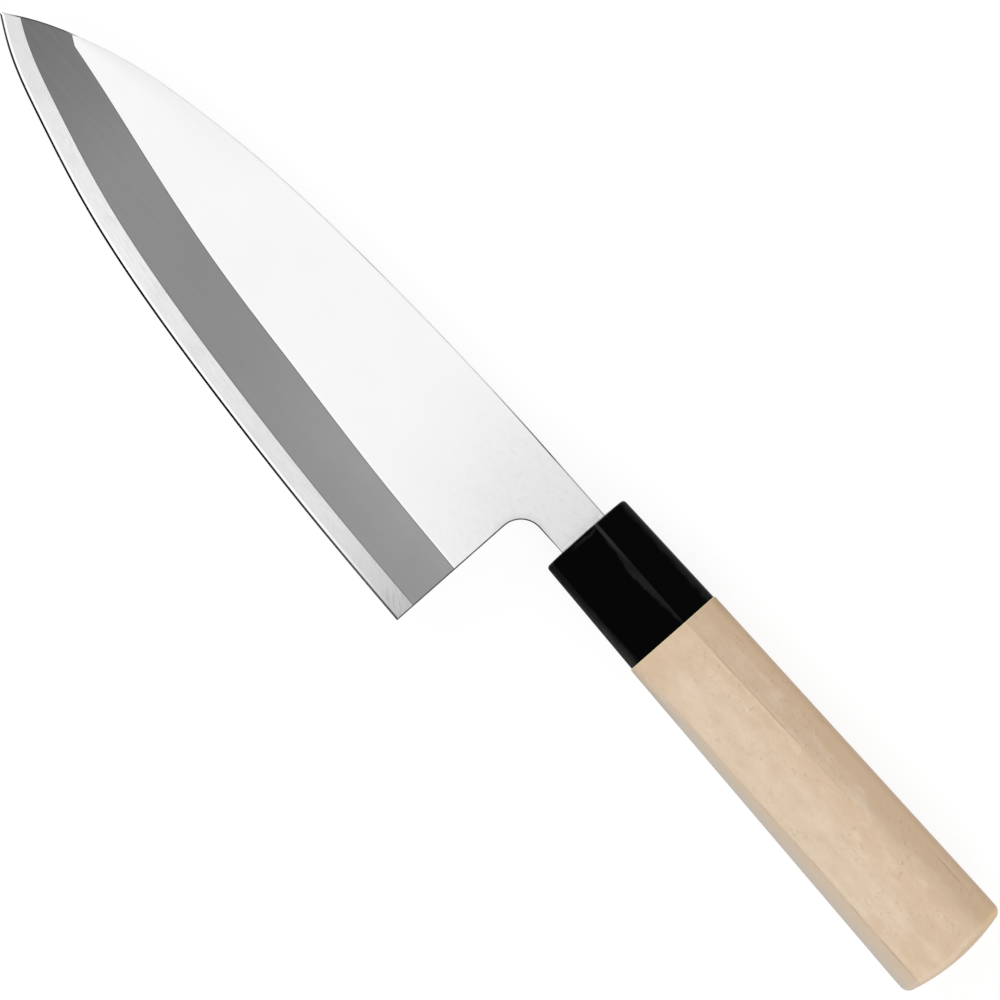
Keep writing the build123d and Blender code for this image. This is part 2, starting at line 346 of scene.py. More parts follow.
def handle_tree(section):
    """A closed piece of the handle: the section, carried along the side path that the mesh holds."""
    tree = bpy.data.node_groups.new("handle along its side path", "GeometryNodeTree")
    handle_sockets(tree)
    make = Tree(tree)
    given = make.add("NodeGroupInput").outputs
    path = given["Side Path"]

    sections = []
    for end in ends:
        group = make.add("GeometryNodeGroup", node_tree=section)
        for name in section_names:
            make.feed(group.inputs[name], given[f"{end} {name}"])
        for name in ("Shoulder Share", "Corner Steps", "Back Steps"):
            make.feed(group.inputs[name], given[name])
        sections.append(group.outputs)

    # One row of the grid for each point of the path, one column for each point of the section
    rows = make.add("GeometryNodeAttributeDomainSize", {"Geometry": path}).outputs["Point Count"]
    ridged = make.add("GeometryNodeAttributeDomainSize", {"Geometry": sections[0][0]}, component="CURVE")
    ridged_count = ridged.outputs["Point Count"]
    columns = make.whole("ADD", ridged_count, given["Back Steps"])
    width = make.whole("ADD", columns, 1)
    grid = make.add("GeometryNodeMeshGrid", {"Vertices X": rows, "Vertices Y": width}).outputs[0]
    index = make.add("GeometryNodeInputIndex").outputs[0]
    row = make.whole("DIVIDE_FLOOR", index, width)
    column = make.whole("MODULO", make.whole("MODULO", index, width), columns)
    position = make.add("GeometryNodeInputPosition").outputs[0]

    def sampled(geometry, value, place, kind="FLOAT"):
        inputs = {"Geometry": geometry, "Value": value, "Index": place}
        return make.add("GeometryNodeSampleIndex", inputs, data_type=kind, clamp=True).outputs[0]

    def along_path(name):
        value = make.add("GeometryNodeInputNamedAttribute", {"Name": name}, data_type="FLOAT").outputs[0]
        return sampled(path, value, row)

    def ring(outputs):
        front = sampled(outputs[0], position, column, "FLOAT_VECTOR")
        back_column = make.whole("SUBTRACT", column, ridged_count)
        back = sampled(outputs[1], position, back_column, "FLOAT_VECTOR")
        past = make.maths("GREATER_THAN", make.whole("ADD", column, 1), ridged_count)
        inputs = {"Switch": past, "False": front, "True": back}
        return make.parts(make.add("GeometryNodeSwitch", inputs, input_type="VECTOR").outputs[0])

    spot = make.parts(sampled(path, position, row, "FLOAT_VECTOR"))
    along, inset = spot[0], spot[1]
    dome, hole, narrow = along_path("dome"), along_path("hole"), along_path("narrow")

    def taper(start, end):
        share = make.over(make.minus(along, start), make.minus(end, start))
        return make.maths("MINIMUM", share, 1)

    share = taper(given["Front At"], given["Rear At"])
    front, rear = ring(sections[0]), ring(sections[1])

    def tapered(name):
        return make.mix(share, given[f"Front {name}"], given[f"Rear {name}"])

    above, below, half = tapered("Above"), tapered("Below"), tapered("Half Thickness")
    reach = make.times(make.plus(above, below), 0.5)
    middle = make.times(make.minus(above, below), 0.5)
    left = make.minus(1, narrow)

    def drawn_in(value, size):
        scale = make.minus(1, make.over(inset, size))
        return make.times(value, make.times(scale, left))

    ring_across = make.mix(share, front[0], rear[0])
    ring_up = make.mix(share, front[1], rear[1])
    across = make.plus(middle, drawn_in(make.minus(ring_across, middle), reach))
    up = drawn_in(ring_up, half)

    # The hole's rounded slot, with a point in the same direction as each point of the section
    direction = make.maths("ARCTAN2", ring_up, ring_across)
    hole_share = taper(given["Hole Front At"], given["Hole Rear At"])

    def hole_size(name):
        return make.mix(hole_share, given[f"Hole Front {name}"], given[f"Hole Rear {name}"])

    def hole_side(function, size, offset):
        side = make.maths(function, direction)
        straight = make.scaled(hole_size(size), 0.5, make.times(given["Hole Round"], -1))
        corner = make.times(make.maths("SIGN", side), straight)
        rounded = make.scaled(side, given["Hole Round"], corner)
        return make.plus(make.times(rounded, left), hole_size(offset))

    across = make.mix(hole, across, hole_side("COSINE", "Height", "Across"))
    up = make.mix(hole, up, hole_side("SINE", "Thickness", "Up"))

    # The domed ends are part of a ball whose middle lies on the axis
    radius = given["Dome Radius"]
    squares = [make.times(value, value) for value in (radius, across, up)]
    flat = make.minus(make.minus(squares[0], squares[1]), squares[2])
    ball = make.times(make.maths("SQRT", flat), make.maths("SIGN", radius))
    along = make.scaled(dome, make.minus(radius, ball), along)

    piece = closed_piece(make, given, grid, make.vector(along, across, up))
    make.add("NodeGroupOutput", {"Piece": piece})
    return tree


def side_path(name, rows):
    """The path as a line of points. Each row is: along, inset, dome, hole and narrow."""
    mesh = bpy.data.meshes.new(name)
    edges = [(number, number + 1) for number in range(len(rows) - 1)]
    mesh.from_pydata([(row[0], row[1], 0) for row in rows], edges, [])
    for place, attribute in enumerate(("dome", "hole", "narrow"), start=2):
        values = mesh.attributes.new(attribute, "FLOAT", "POINT")
        values.data.foreach_set("value", [row[place] for row in rows])
    piece = bpy.data.objects.new(name, mesh)
    bpy.context.scene.collection.objects.link(piece)
    return piece


def shaded(mesh, angle):
    """Smooth shading, with a crisp line wherever two faces meet at more than the angle."""
    for face in mesh.polygons:
        face.use_smooth = True
    mesh.set_sharp_from_angle(angle=angle)


def handle_piece(name, rows, tree, sizes, crisp_angle):
    """Runs the handle's tree on one side path, and keeps the result as a plain mesh."""
    piece = side_path(name, rows)
    modifier = piece.modifiers.new("handle", "NODES")
    modifier.node_group = tree
    for socket in tree.interface.items_tree:
        if socket.name in sizes:
            modifier[socket.identifier] = sizes[socket.name]
    graph = bpy.context.evaluated_depsgraph_get()
    mesh = bpy.data.meshes.new_from_object(piece.evaluated_get(graph), depsgraph=graph)
    piece.modifiers.remove(modifier)
    piece.data = mesh
    made = bmesh.new()
    made.from_mesh(mesh)
    bmesh.ops.recalc_face_normals(made, faces=made.faces)
    made.to_mesh(mesh)
    made.free()
    shaded(mesh, crisp_angle)
    weighted = piece.modifiers.new("even flanks", "WEIGHTED_NORMAL")
    weighted.keep_sharp = True
    return piece


def handle_sizes(places, sections, holes, dome_radius, hole_round, finish):
    """The inputs of the handle's tree. Places, sections and holes are pairs, for the front and the rear."""
    sizes = {"Dome Radius": dome_radius, "Hole Round": hole_round, "Shoulder Share": shoulder_share}
    for end, place, section, hole in zip(ends, places, sections, holes):
        sizes[f"{end} At"] = place
        sizes.update({f"{end} {name}": size for name, size in zip(section_names, section)})
        sizes.update({f"Hole {end} {name}": size for name, size in zip(hole_names, hole)})
    sizes.update({"Corner Steps": section_corner_steps, "Back Steps": section_back_steps})
    sizes.update({"Origin": knife_place, "Finish": finish})
    return sizes


def rounded_rows(start, radius, way):
    """Rows that turn the corner between a domed end and the side. The way is 1 in front, -1 at the rear."""
    rows = []
    for step in range(round_steps + 1):
        angle = math.pi / 2 * step / round_steps
        setback = radius - radius * math.cos(angle)
        rows.append((start + way * setback, radius - radius * math.sin(angle), 1, 0, 0))
    return rows[::way]


neck_across = (spine_rise - neck_drop) / 2
slot_height = spine_rise + neck_drop + slot_clearance * 2
slot_thickness = neck_thickness + slot_clearance * 2
bore_height = spine_rise + neck_drop + bore_clearance_front
bore_thickness = neck_thickness + bore_clearance_front
bore_end = tang_length + bore_end_gap


def make_ferrule(tree, finish):
    """The collar: slot, domed mouth with its rounded edge, tapering side and the hollow for the tenon."""
    face = -mouth_dome
    rows = [(mouth_wall, 0, 0, 1, 0), (face, 0, 1, 1, 0)]
    rows += [(face, mouth_round, 1, share, 0) for share in mouth_ring_shares]
    rows += rounded_rows(face, mouth_round, 1)
    rows += [(mouth_wall * place, 0, 0, 0, 0) for place in collar_ring_places]
    rows += [(ferrule_length, 0, 0, 0, 0), (ferrule_length, ferrule_wall, 0, 0, 0)]
    rows += [(mouth_wall, ferrule_wall, 0, 0, 0), (mouth_wall, 0, 0, 1, 0)]
    slot = (slot_height, slot_thickness, neck_across, 0)
    holes = ((face, *slot), (mouth_wall, *slot))
    sections = (mouth_section, collar_section)
    sizes = handle_sizes((0, ferrule_length), sections, holes, mouth_dome_radius, slot_round, finish)
    return handle_piece("ferrule_shell", rows, tree, sizes, ferrule_crisp_angle)


def make_grip(tree, finish):
    """The wooden handle: the hole for the tang, the tenon, the tapering side and the domed butt."""
    tenon_start = mouth_wall + glue_gap
    butt_start = handle_length - butt_parallel
    narrower = ferrule_wall + glue_gap + grip_below - collar_below
    front_gap = (grip_half - mouth_half) * (1 - mouth_wall / ferrule_length)
    rows = [(bore_end, 0, 0, 1, 1), (bore_end, 0, 0, 1, 0), (tenon_start, 0, 0, 1, 0)]
    rows += [(tenon_start, narrower + front_gap, 0, 0, 0), (ferrule_length, narrower, 0, 0, 0)]
    rows += [(ferrule_length, joint_ease, 0, 0, 0), (ferrule_length + joint_ease, 0, 0, 0, 0)]
    shares = [step / side_spans for step in range(1, side_spans + 1)]
    rows += [(between(ferrule_length, butt_start, share), 0, 0, 0, 0) for share in shares]
    rows += rounded_rows(butt_end, butt_round, -1)
    rows += [(butt_end, butt_round, 1, 0, share) for share in butt_ring_shares]
    front_hole = (mouth_wall, bore_height, bore_thickness, neck_across, 0)
    rear_height = tang_height_end + bore_clearance_end
    rear_thickness = tang_thickness_end + bore_clearance_end
    rear_hole = (bore_end, rear_height, rear_thickness, 0, tang_back_end + tang_thickness_end / 2)
    places = (ferrule_length, butt_start)
    sections = (grip_section, butt_section)
    holes = (front_hole, rear_hole)
    sizes = handle_sizes(places, sections, holes, -butt_dome_radius, bore_round, finish)
    return handle_piece("wooden_grip", rows, tree, sizes, grip_crisp_angle)


# The blade is divided in plan along every line where two ground faces meet, and then each point of the
# plan gets its height on the upper side and on the back.


def curve_through(points, first_slope=None, last_slope=None):
    """A smooth curve through points that run along the knife, as a function of the place along it."""
    place, height = np.array(sorted(points)).T
    step = np.diff(place)
    rise = np.diff(height) / step
    count = len(place)
    matrix = np.zeros((count, count))
    sums = np.zeros(count)
    for i in range(1, count - 1):
        matrix[i, i - 1 : i + 2] = step[i], 2 * (step[i - 1] + step[i]), step[i - 1]
        sums[i] = 3 * (step[i] * rise[i - 1] + step[i - 1] * rise[i])
    matrix[0, :2] = (2, 1) if first_slope is None else (1, 0)
    sums[0] = 3 * rise[0] if first_slope is None else first_slope
    matrix[-1, -2:] = (1, 2) if last_slope is None else (0, 1)
    sums[-1] = 3 * rise[-1] if last_slope is None else last_slope
    slope = np.linalg.solve(matrix, sums)

    def height_at(along):
        along = np.asarray(along, float)
        i = np.clip(np.searchsorted(place, along) - 1, 0, count - 2)
        t = (along - place[i]) / step[i]
        inside = (1 + 2 * t) * (1 - t) ** 2 * height[i] + t**2 * (3 - 2 * t) * height[i + 1]
        inside += step[i] * (t * (1 - t) ** 2 * slope[i] + t**2 * (t - 1) * slope[i + 1])
        before = height[0] + (along - place[0]) * slope[0]
        after = height[-1] + (along - place[-1]) * slope[-1]
        return np.where(along < place[0], before, np.where(along > place[-1], after, inside))

    return height_at


def outline_points(start, end, run_shares, rise_shares):
    """Points from start to end, placed by shares of the run between them and of the rise."""
    points = [start]
    for run, rise in zip(run_shares, rise_shares):
        points.append((between(start[0], end[0], run), between(start[1], end[1], rise)))
    return points + [end]


tip = (-blade_reach, -tip_drop)
heel = (-heel_setback, -heel_drop)
spine_start = (-spine_straight, spine_rise)
spine_points = outline_points(spine_start, tip, spine_run_shares, spine_drop_shares)
spine_at = curve_through(spine_points, spine_tip_slope, 0)
edge_at = curve_through(outline_points(heel, tip, edge_run_shares, edge_rise_shares))
bevel_corner_at = bevel_corner_gap - blade_reach
bevel_corner = (bevel_corner_at, float(spine_at(bevel_corner_at)) - bevel_corner_drop)
bevel_end_at = bevel_end_gap - blade_reach
bevel_end = (bevel_end_at, float(spine_at(bevel_end_at)))
bevel_heel = (-heel_setback, bevel_height - heel_drop)
bevel_at = curve_through(outline_points(bevel_heel, bevel_corner, bevel_run_shares, bevel_rise_shares))
hollow_start = -heel_setback - hollow_heel_gap
hollow_end = hollow_tip_gap - blade_reach
hollow_places = [between(hollow_start, hollow_end, share) for share in hollow_place_shares]
hollow_share_at = curve_through(list(zip(hollow_places, hollow_depth_shares)))


def bevel_line(along):
    """Where across the knife the flat face turns into the bevel."""
    share = (along - bevel_corner[0]) / (bevel_end[0] - bevel_corner[0])
    turned = between(bevel_corner[1], bevel_end[1], share)
    return np.where(along < bevel_corner[0], turned, bevel_at(along))


def tang_share(along):
    return np.clip((along - tang_neck_length) / (tang_length - tang_neck_length), 0, 1)


def face_height(along):
    """Height of the upper face: it thins from the neck to the tip, and along the tang to its end."""
    share = np.clip((neck_start - along) / (neck_start + blade_reach), 0, 1)
    blade = blade_back + between(neck_thickness, tip_thickness, share)
    return between(blade, tang_back_end + tang_thickness_end, tang_share(along))


def ground_lines(along):
    """The lines that bound the micro-bevel, the strip and the bevel, from the edge upwards."""
    edge = edge_at(along)
    strip = edge + strip_height
    return edge, edge + micro_height, strip, np.maximum(bevel_line(along), strip)


def ground_height(along, across):
    """Height of the upper side, with the bevel, the strip and the micro-bevel ground into it."""
    top = face_height(along)
    edge, micro, strip, line = ground_lines(along)
    heights = (
        blade_back + edge_land,
        blade_back + micro_thickness,
        between(blade_back, top, strip_thickness_share),
        top,
    )
    height = top
    for low, high, start, end in (
        (strip, line, heights[2], top),
        (micro, strip, heights[1], heights[2]),
        (edge, micro, heights[0], heights[1]),
    ):
        share = (across - low) / np.maximum(high - low, weld)
        ground = (across < high) & (along < weld * 3 - heel_setback)
        height = np.where(ground, between(start, end, share), height)
    return np.maximum(height, blade_back + edge_land)


def hollow_reach(along):
    """The hollow's middle across the knife, half its full width, its depth and where it ends."""
    low = edge_at(along) + hollow_rim
    high = spine_at(along) - hollow_rim
    half = np.maximum((high - low) / 2, weld)
    width_share = (high - low) / (heel_drop + spine_rise)
    depth = hollow_depth * hollow_share_at(along) * width_share**2
    end = np.sqrt(np.clip(1 - hollow_rim_drop / np.maximum(depth + hollow_rim_drop, weld), 0, 1))
    return (low + high) / 2, half, depth, np.where(depth > 0, end, 0)


def back_height(along, across):
    """Height of the back: flat, with a shallow hollow, and rising along the tang."""
    middle, half, depth, _ = hollow_reach(along)
    share = (across - middle) / half
    hollow = (depth + hollow_rim_drop) * (1 - share**2) - hollow_rim_drop
    inside = (along > hollow_end) & (along < hollow_start)
    rise = (along - neck_start) / (tang_length - neck_start)
    flat = blade_back + tang_back_rise * np.clip(rise, 0, 1)
    return flat + np.where(inside, np.clip(hollow, 0, None), 0)


def steps_between(start, end, step):
    count = max(2, math.ceil(abs(end - start) / step) + 1)
    return np.linspace(start, end, count)


def blade_outline():
    """The plan, counterclockwise from the tip, and the chains of its eased edges within it."""
    run = steps_between(tip[0], heel[0], edge_step)
    edge = list(zip(run, edge_at(run)))
    edge[0], edge[-1] = tip, heel
    flare = math.atan2(neck_flare, tang_neck_length + heel_setback)
    middle_along = -heel_setback + choil_radius
    neck_line = -neck_drop - neck_flare + math.tan(flare) * choil_radius
    middle_across = neck_line - choil_radius / math.cos(flare)
    rise = steps_between(heel[1], middle_across, edge_step)[1:-1]
    choil = [(-heel_setback, across) for across in rise]
    for angle in np.linspace(math.pi, math.pi / 2 + flare, choil_steps):
        along = middle_along + choil_radius * math.cos(angle)
        choil.append((along, middle_across + choil_radius * math.sin(angle)))
    neck_end = (tang_neck_length, -neck_drop)
    tang = [
        (tang_neck_length, -tang_height_front / 2),
        (tang_length, -tang_height_end / 2),
        (tang_length, tang_height_end / 2),
        (tang_neck_length, tang_height_front / 2),
    ]
    run = steps_between(tang_neck_length, tip[0], edge_step)[:-1]
    spine = list(zip(run, np.where(run > -spine_straight, spine_rise, spine_at(run))))
    outline = edge + choil + [neck_end] + tang + spine
    return outline, ([heel] + choil + [neck_end], spine + [tip])


def drawn_inwards(chain, distance):
    """A chain moved to its left by a distance. Its two ends stay where they are."""
    points = np.array(chain)
    ways = np.diff(points, axis=0)
    normals = np.stack([-ways[:, 1], ways[:, 0]], axis=1) / np.linalg.norm(ways, axis=1)[:, None]
    mean = normals[:-1] + normals[1:]
    mean *= 2 / np.sum(mean**2, axis=1)[:, None]
    points[1:-1] += mean * distance
    return [tuple(point) for point in points]


def line_across(along):
    """A line across the neck or the tang that runs a little past both sides."""
    return [(along, -neck_drop - eased_edge), (along, spine_rise + eased_edge)]


def distance_to(chains, points):
    """How far each point lies from the nearest chain."""
    nearest = np.full(len(points), np.inf)
    for chain in chains:
        for start, end in zip(np.array(chain[:-1]), np.array(chain[1:])):
            way = end - start
            share = np.clip((points - start) @ way / (way @ way), 0, 1)
            gap = np.linalg.norm(points - start - share[:, None] * way, axis=1)
            nearest = np.minimum(nearest, gap)
    return nearest


def inner_points(step):
    """A square grid of points inside the blade, clear of its outline and of the lines on it."""
    points = []
    for along in np.arange(tip[0], heel[0], step):
        edge, micro, strip, line = ground_lines(along)
        low = edge + line_margin
        high = spine_at(along) - line_margin
        for across in np.arange(heel[1], spine_rise, step):
            clear = min(abs(across - border) for border in (micro, strip, line))
            if low < across < high and clear > line_margin:
                points.append((along, across))
    return points


def divided(outline, chains, points):
    """Triangles that fill the outline and keep to the chains. Also says where each outline point went."""
    places = list(outline)
    edges = []
    for chain in chains:
        first = len(places)
        places += list(chain)
        edges += [(first + i, first + i + 1) for i in range(len(chain) - 1)]
    places += points
    vectors = [Vector(place) for place in places]
    loop = [list(range(len(outline)))]
    found = delaunay_2d_cdt(vectors, edges, loop, 1, weld)
    where = {}
    for number, origins in enumerate(found[3]):
        for origin in origins:
            where[origin] = number
    return np.array([tuple(v) for v in found[0]]), found[2], where


def border_loop(faces):
    """The outer edges of a set of triangles, as one loop of points."""
    sides = {(face[i], face[(i + 1) % len(face)]) for face in faces for i in range(len(face))}
    following = {start: end for start, end in sides if (end, start) not in sides}
    loop = [next(iter(following))]
    while following[loop[-1]] != loop[0]:
        loop.append(following[loop[-1]])
    return loop


blade_zones = ("flat", "bevel", "strip", "micro", "eased", "back", "side", "tang")


def upper_zone(along, across, near_edge):
    """Which ground face a place on the upper side belongs to."""
    _, micro, strip, line = ground_lines(along)
    if along > 0:
        return "tang"
    if near_edge and across > micro:
        return "eased"
    if along > -heel_setback or across > line:
        return "flat"
    if across > strip:
        return "bevel"
    return "strip" if across > micro else "micro"


def upper_zones(plan, faces, eased):
    """The ground face that each triangle of the upper side belongs to."""
    middles = np.array([plan[list(face)].mean(axis=0) for face in faces])
    near = distance_to(eased, middles) < eased_edge * eased_zone_share
    return [upper_zone(*middle, near_edge) for middle, near_edge in zip(middles, near)]


def zone_share(zone, along, across):
    """How far across its own ground face a corner lies, from its lower line to its upper one."""
    edge, micro, strip, line = (float(value) for value in ground_lines(along))
    spine = spine_rise if along > -spine_straight else float(spine_at(along))
    spans = {"micro": (edge, micro), "strip": (micro, strip), "bevel": (strip, line), "flat": (line, spine)}
    if zone not in spans:
        return 0
    low, high = spans[zone]
    return (across - low) / max(high - low, weld)


def top_lines(eased):
    """The lines that the upper side is divided along."""
    past_heel = heel[0] + edge_step
    run = steps_between(tip[0] + edge_step, past_heel, edge_step)
    _, micro, strip, _ = ground_lines(run)
    lines = [list(zip(run, border)) for border in (micro, strip)]
    run = steps_between(bevel_corner_at, past_heel, edge_step)
    lines.append([bevel_end, *zip(run, bevel_line(run))])
    lines += [drawn_inwards(chain, eased_edge) for chain in eased]
    return lines + [line_across(along) for along in (neck_start, 0, tang_neck_length)]


def back_lines():
    """The lines that the back is divided along: the hollow's border, and two across the neck."""
    run = steps_between(hollow_end, hollow_start, edge_step)
    middle, half, depth, end = hollow_reach(run)
    run, middle, reach = run[depth > 0], middle[depth > 0], (half * end)[depth > 0]
    hollow = [*zip(run, middle - reach), *zip(run[::-1], (middle + reach)[::-1])]
    return [hollow + hollow[:1], line_across(neck_start), line_across(0)]


def top_height(plan, eased):
    """Height of the upper side at each point of the plan, lower along the eased edges."""
    along, across = plan[:, 0], plan[:, 1]
    top = ground_height(along, across)
    limit = (top - back_height(along, across)) * eased_depth_share
    drop = np.clip(eased_edge - distance_to(eased, plan), 0, None)
    return np.where(along < 0, top - np.minimum(drop, limit), top)


def make_blade(finishes):
    """The blade with its tang, as one closed mesh. Each ground face has its own finish."""
    outline, eased = blade_outline()
    plan, top_faces, _ = divided(outline, top_lines(eased), inner_points(face_step))
    loop = border_loop(top_faces)
    rim = [tuple(plan[number]) for number in loop]
    back_plan, back_faces, where = divided(rim, back_lines(), inner_points(back_step))
    back = back_height(back_plan[:, 0], back_plan[:, 1])
    points = [(*place, height) for place, height in zip(plan, top_height(plan, eased))]
    points += [(*place, height) for place, height in zip(back_plan, back)]

    # Each face comes with its zone, and with the share across the grind at its corners
    first = len(plan)
    faces = []
    for face, zone in zip(top_faces, upper_zones(plan, top_faces, eased)):
        faces.append((face, zone, [zone_share(zone, *plan[corner]) for corner in face]))
    for face in back_faces:
        middle = back_plan[list(face)].mean(axis=0)
        in_hollow = middle[0] < hollow_start and back_height(*middle) > blade_back
        zone = "tang" if middle[0] > 0 else "back"
        faces.append(([first + corner for corner in face][::-1], zone, [float(in_hollow)] * len(face)))
    for i, start in enumerate(loop):
        j = (i + 1) % len(loop)
        zone = "tang" if plan[start][0] > 0 else "side"
        faces.append(([start, first + where[i], first + where[j], loop[j]], zone, [0] * 4))
    return blade_piece(points, faces, finishes)


def blade_piece(points, faces, finishes):
    """The blade's object, from its points and its faces with their zones and shares."""
    mesh = bpy.data.meshes.new("ground_blade")
    mesh.from_pydata([Vector(point) + knife_place for point in points], [], [face[0] for face in faces])
    for zone in blade_zones:
        mesh.materials.append(finishes[zone])
    layer = mesh.uv_layers.new(name="across the grind")
    for face, (_, zone, shares) in zip(mesh.polygons, faces):
        face.material_index = blade_zones.index(zone)
        for corner, share in zip(face.loop_indices, shares):
            along = mesh.vertices[mesh.loops[corner].vertex_index].co.x - knife_place.x
            layer.data[corner].uv = (-along, share)
    shaded(mesh, blade_crisp_angle)
    sharp_between_zones(mesh)
    without_loose_points(mesh)
    blade = bpy.data.objects.new("ground_blade", mesh)
    bpy.context.scene.collection.objects.link(blade)
    return blade


def sharp_between_zones(mesh):
    """Makes the line between two ground faces crisp."""
    zones_at = {}
    for face in mesh.polygons:
        for key in face.edge_keys:
            zones_at.setdefault(key, set()).add(face.material_index)
    sharp = mesh.attributes.get("sharp_edge") or mesh.attributes.new("sharp_edge", "BOOLEAN", "EDGE")
    for edge in mesh.edges:
        if len(zones_at[edge.key]) > 1:
            sharp.data[edge.index].value = True


def without_loose_points(mesh):
    """Deletes the ends of the dividing lines that lie outside the blade."""
    made = bmesh.new()
    made.from_mesh(mesh)
    loose = [point for point in made.verts if not point.link_faces]
    bmesh.ops.delete(made, geom=loose, context="VERTS")
    made.to_mesh(mesh)
    made.free()


# Finishes


def new_finish(name):
    """A new material, its tree, its shader and the coordinates that stay with the piece."""
    material = bpy.data.materials.new(name)
    material.use_nodes = True
    make = Tree(material.node_tree)
    shader = material.node_tree.nodes["Principled BSDF"]
    place = make.add("ShaderNodeTexCoord").outputs["Object"]
    return material, make, shader, place


def stretched(make, place, scale):
    """Coordinates counted in grains: the larger the number, the finer the pattern that way."""
    return make.add("ShaderNodeMapping", {"Vector": place, "Scale": scale}).outputs[0]


def noise(make, place, scale, detail=3.0, roughness=0.55, distortion=0.0):
    inputs = {
        "Vector": place,
        "Scale": scale,
        "Detail": detail,
        "Roughness": roughness,
        "Distortion": distortion,
    }
    return make.add("ShaderNodeTexNoise", inputs).outputs[0]


def ranged(make, value, low, high, start, end, soft=False):
    """The value's range from low to high, carried over to the range from start to end."""
    inputs = {"Value": value, 1: low, 2: high, 3: start, 4: end}
    kind = "SMOOTHSTEP" if soft else "LINEAR"
    return make.add("ShaderNodeMapRange", inputs, interpolation_type=kind).outputs[0]


def tinted(make, factor, first, second):
    """The first colour, turned into the second as far as the factor says."""
    inputs = {0: factor, 6: first, 7: second}
    return make.add("ShaderNodeMix", inputs, data_type="RGBA").outputs[2]


def grey(level):
    return (level, level, level, 1)


def wavered(make, value, pattern, width):
    """The value, pushed to and fro by a noise pattern over the given width."""
    return make.scaled(make.minus(pattern, 0.5), width, value)


def surfaced(make, shader, colour, roughness):
    make.feed(shader.inputs["Base Color"], colour)
    make.feed(shader.inputs["Roughness"], roughness)


def relief(make, shader, height, strength, depth):
    """Fine marks in the surface, too small to be made as shape."""
    inputs = {"Height": height, "Strength": strength, "Distance": depth}
    bump = make.add("ShaderNodeBump", inputs)
    make.feed(shader.inputs["Normal"], bump.outputs[0])


def steel(name, metallic=1.0):
    material, make, shader, place = new_finish(name)
    shader.inputs["Metallic"].default_value = metallic
    return material, make, shader, place


def toned(make, value, reach, tones):
    """A grey that follows the value. Each tone is a pair: a value, up to the reach, and its level."""
    ramp = make.add("ShaderNodeValToRGB", {0: ranged(make, value, 0, reach, 0, 1)})
    stops = ramp.color_ramp.elements
    while len(stops) < len(tones):
        stops.new(1.0)
    for stop, (at, level) in zip(stops, tones):
        stop.position = at / reach
        stop.color = grey(level)
    return ramp.outputs[0]


def both(make, *shares):
    """The product of several shares: high only where all of them are."""
    product = shares[0]
    for share in shares[1:]:
        product = make.times(product, share)
    return product


def any_of(make, *shares):
    """The highest of several shares."""
    highest = shares[0]
    for share in shares[1:]:
        highest = make.maths("MAXIMUM", highest, share)
    return highest


def line_at(make, value, middle, half_width):
    """1 where the value is the middle, falling to 0 at half the line's width to either side."""
    gap = make.maths("ABSOLUTE", make.minus(value, middle))
    return ranged(make, gap, half_width, half_width * 0.4, 0, 1, True)


def from_knife(make, place):
    """Places along, across and up, counted as the sizes above are."""
    moved = make.add("ShaderNodeVectorMath", {0: place, 1: knife_place}, operation="SUBTRACT")
    return make.parts(moved.outputs[0])


def grind_place(make):
    """The distance from the ferrule towards the tip, and the share across the ground face."""
    uv = make.add("ShaderNodeUVMap", uv_map="across the grind").outputs[0]
    return make.parts(uv)


def distance_from(make, along, across, middle):
    """How far a place lies from a point of the plan."""
    inputs = {0: make.vector(along, across), 1: (*middle, 0)}
    return make.add("ShaderNodeVectorMath", inputs, operation="DISTANCE").outputs["Value"]


# How pale the steel is, from the ferrule towards the tip: pairs of the distance and the level. The flat
# greys towards the neck as a painted reflection, and the bevel, micro-bevel and eased spine levels hold
# painted reflection and shade.
flat_tones_and_reflection = (
    (0, 0.75),
    (0.009, 0.74),
    (0.016, 0.76),
    (0.026, 0.8),
    (0.036, 0.85),
    (0.055, 0.89),
    (0.08, 0.905),
)
# The bevel's levels: partly its ground finish, partly a painted reflection of darker surroundings, darkest
# at the tip
bevel_tones_and_reflection = (
    (0.015, 0.3),
    (0.045, 0.3),
    (0.07, 0.28),
    (0.09, 0.262),
    (0.145, 0.258),
    (0.165, 0.205),
    (0.19, 0.15),
)
strip_tones = (
    (0.016, 0.48),
    (0.024, 0.58),
    (0.045, 0.73),
    (0.09, 0.76),
    (0.13, 0.82),
    (0.16, 0.78),
    (0.19, 0.69),
)
# The micro-bevel's near-black levels are a painted dark reflection
micro_reflection_tones = (
    (0.016, 0.1),
    (0.03, 0.1),
    (0.06, 0.02),
    (0.085, 0.004),
    (0.14, 0.004),
    (0.17, 0.008),
    (0.184, 0.02),
    (0.193, 0.08),
)
# The eased spine edge's levels are painted shade and reflection, dark near the heel and the tip
spine_shade_tones = (
    (0, 0.45),
    (0.016, 0.4),
    (0.0205, 0.09),
    (0.029, 0.22),
    (0.037, 0.42),
    (0.046, 0.7),
    (0.079, 0.74),
    (0.086, 0.56),
    (0.096, 0.74),
    (0.176, 0.84),
    (0.179, 0.1),
    (0.19, 0.05),
    (0.192, 0.6),
)

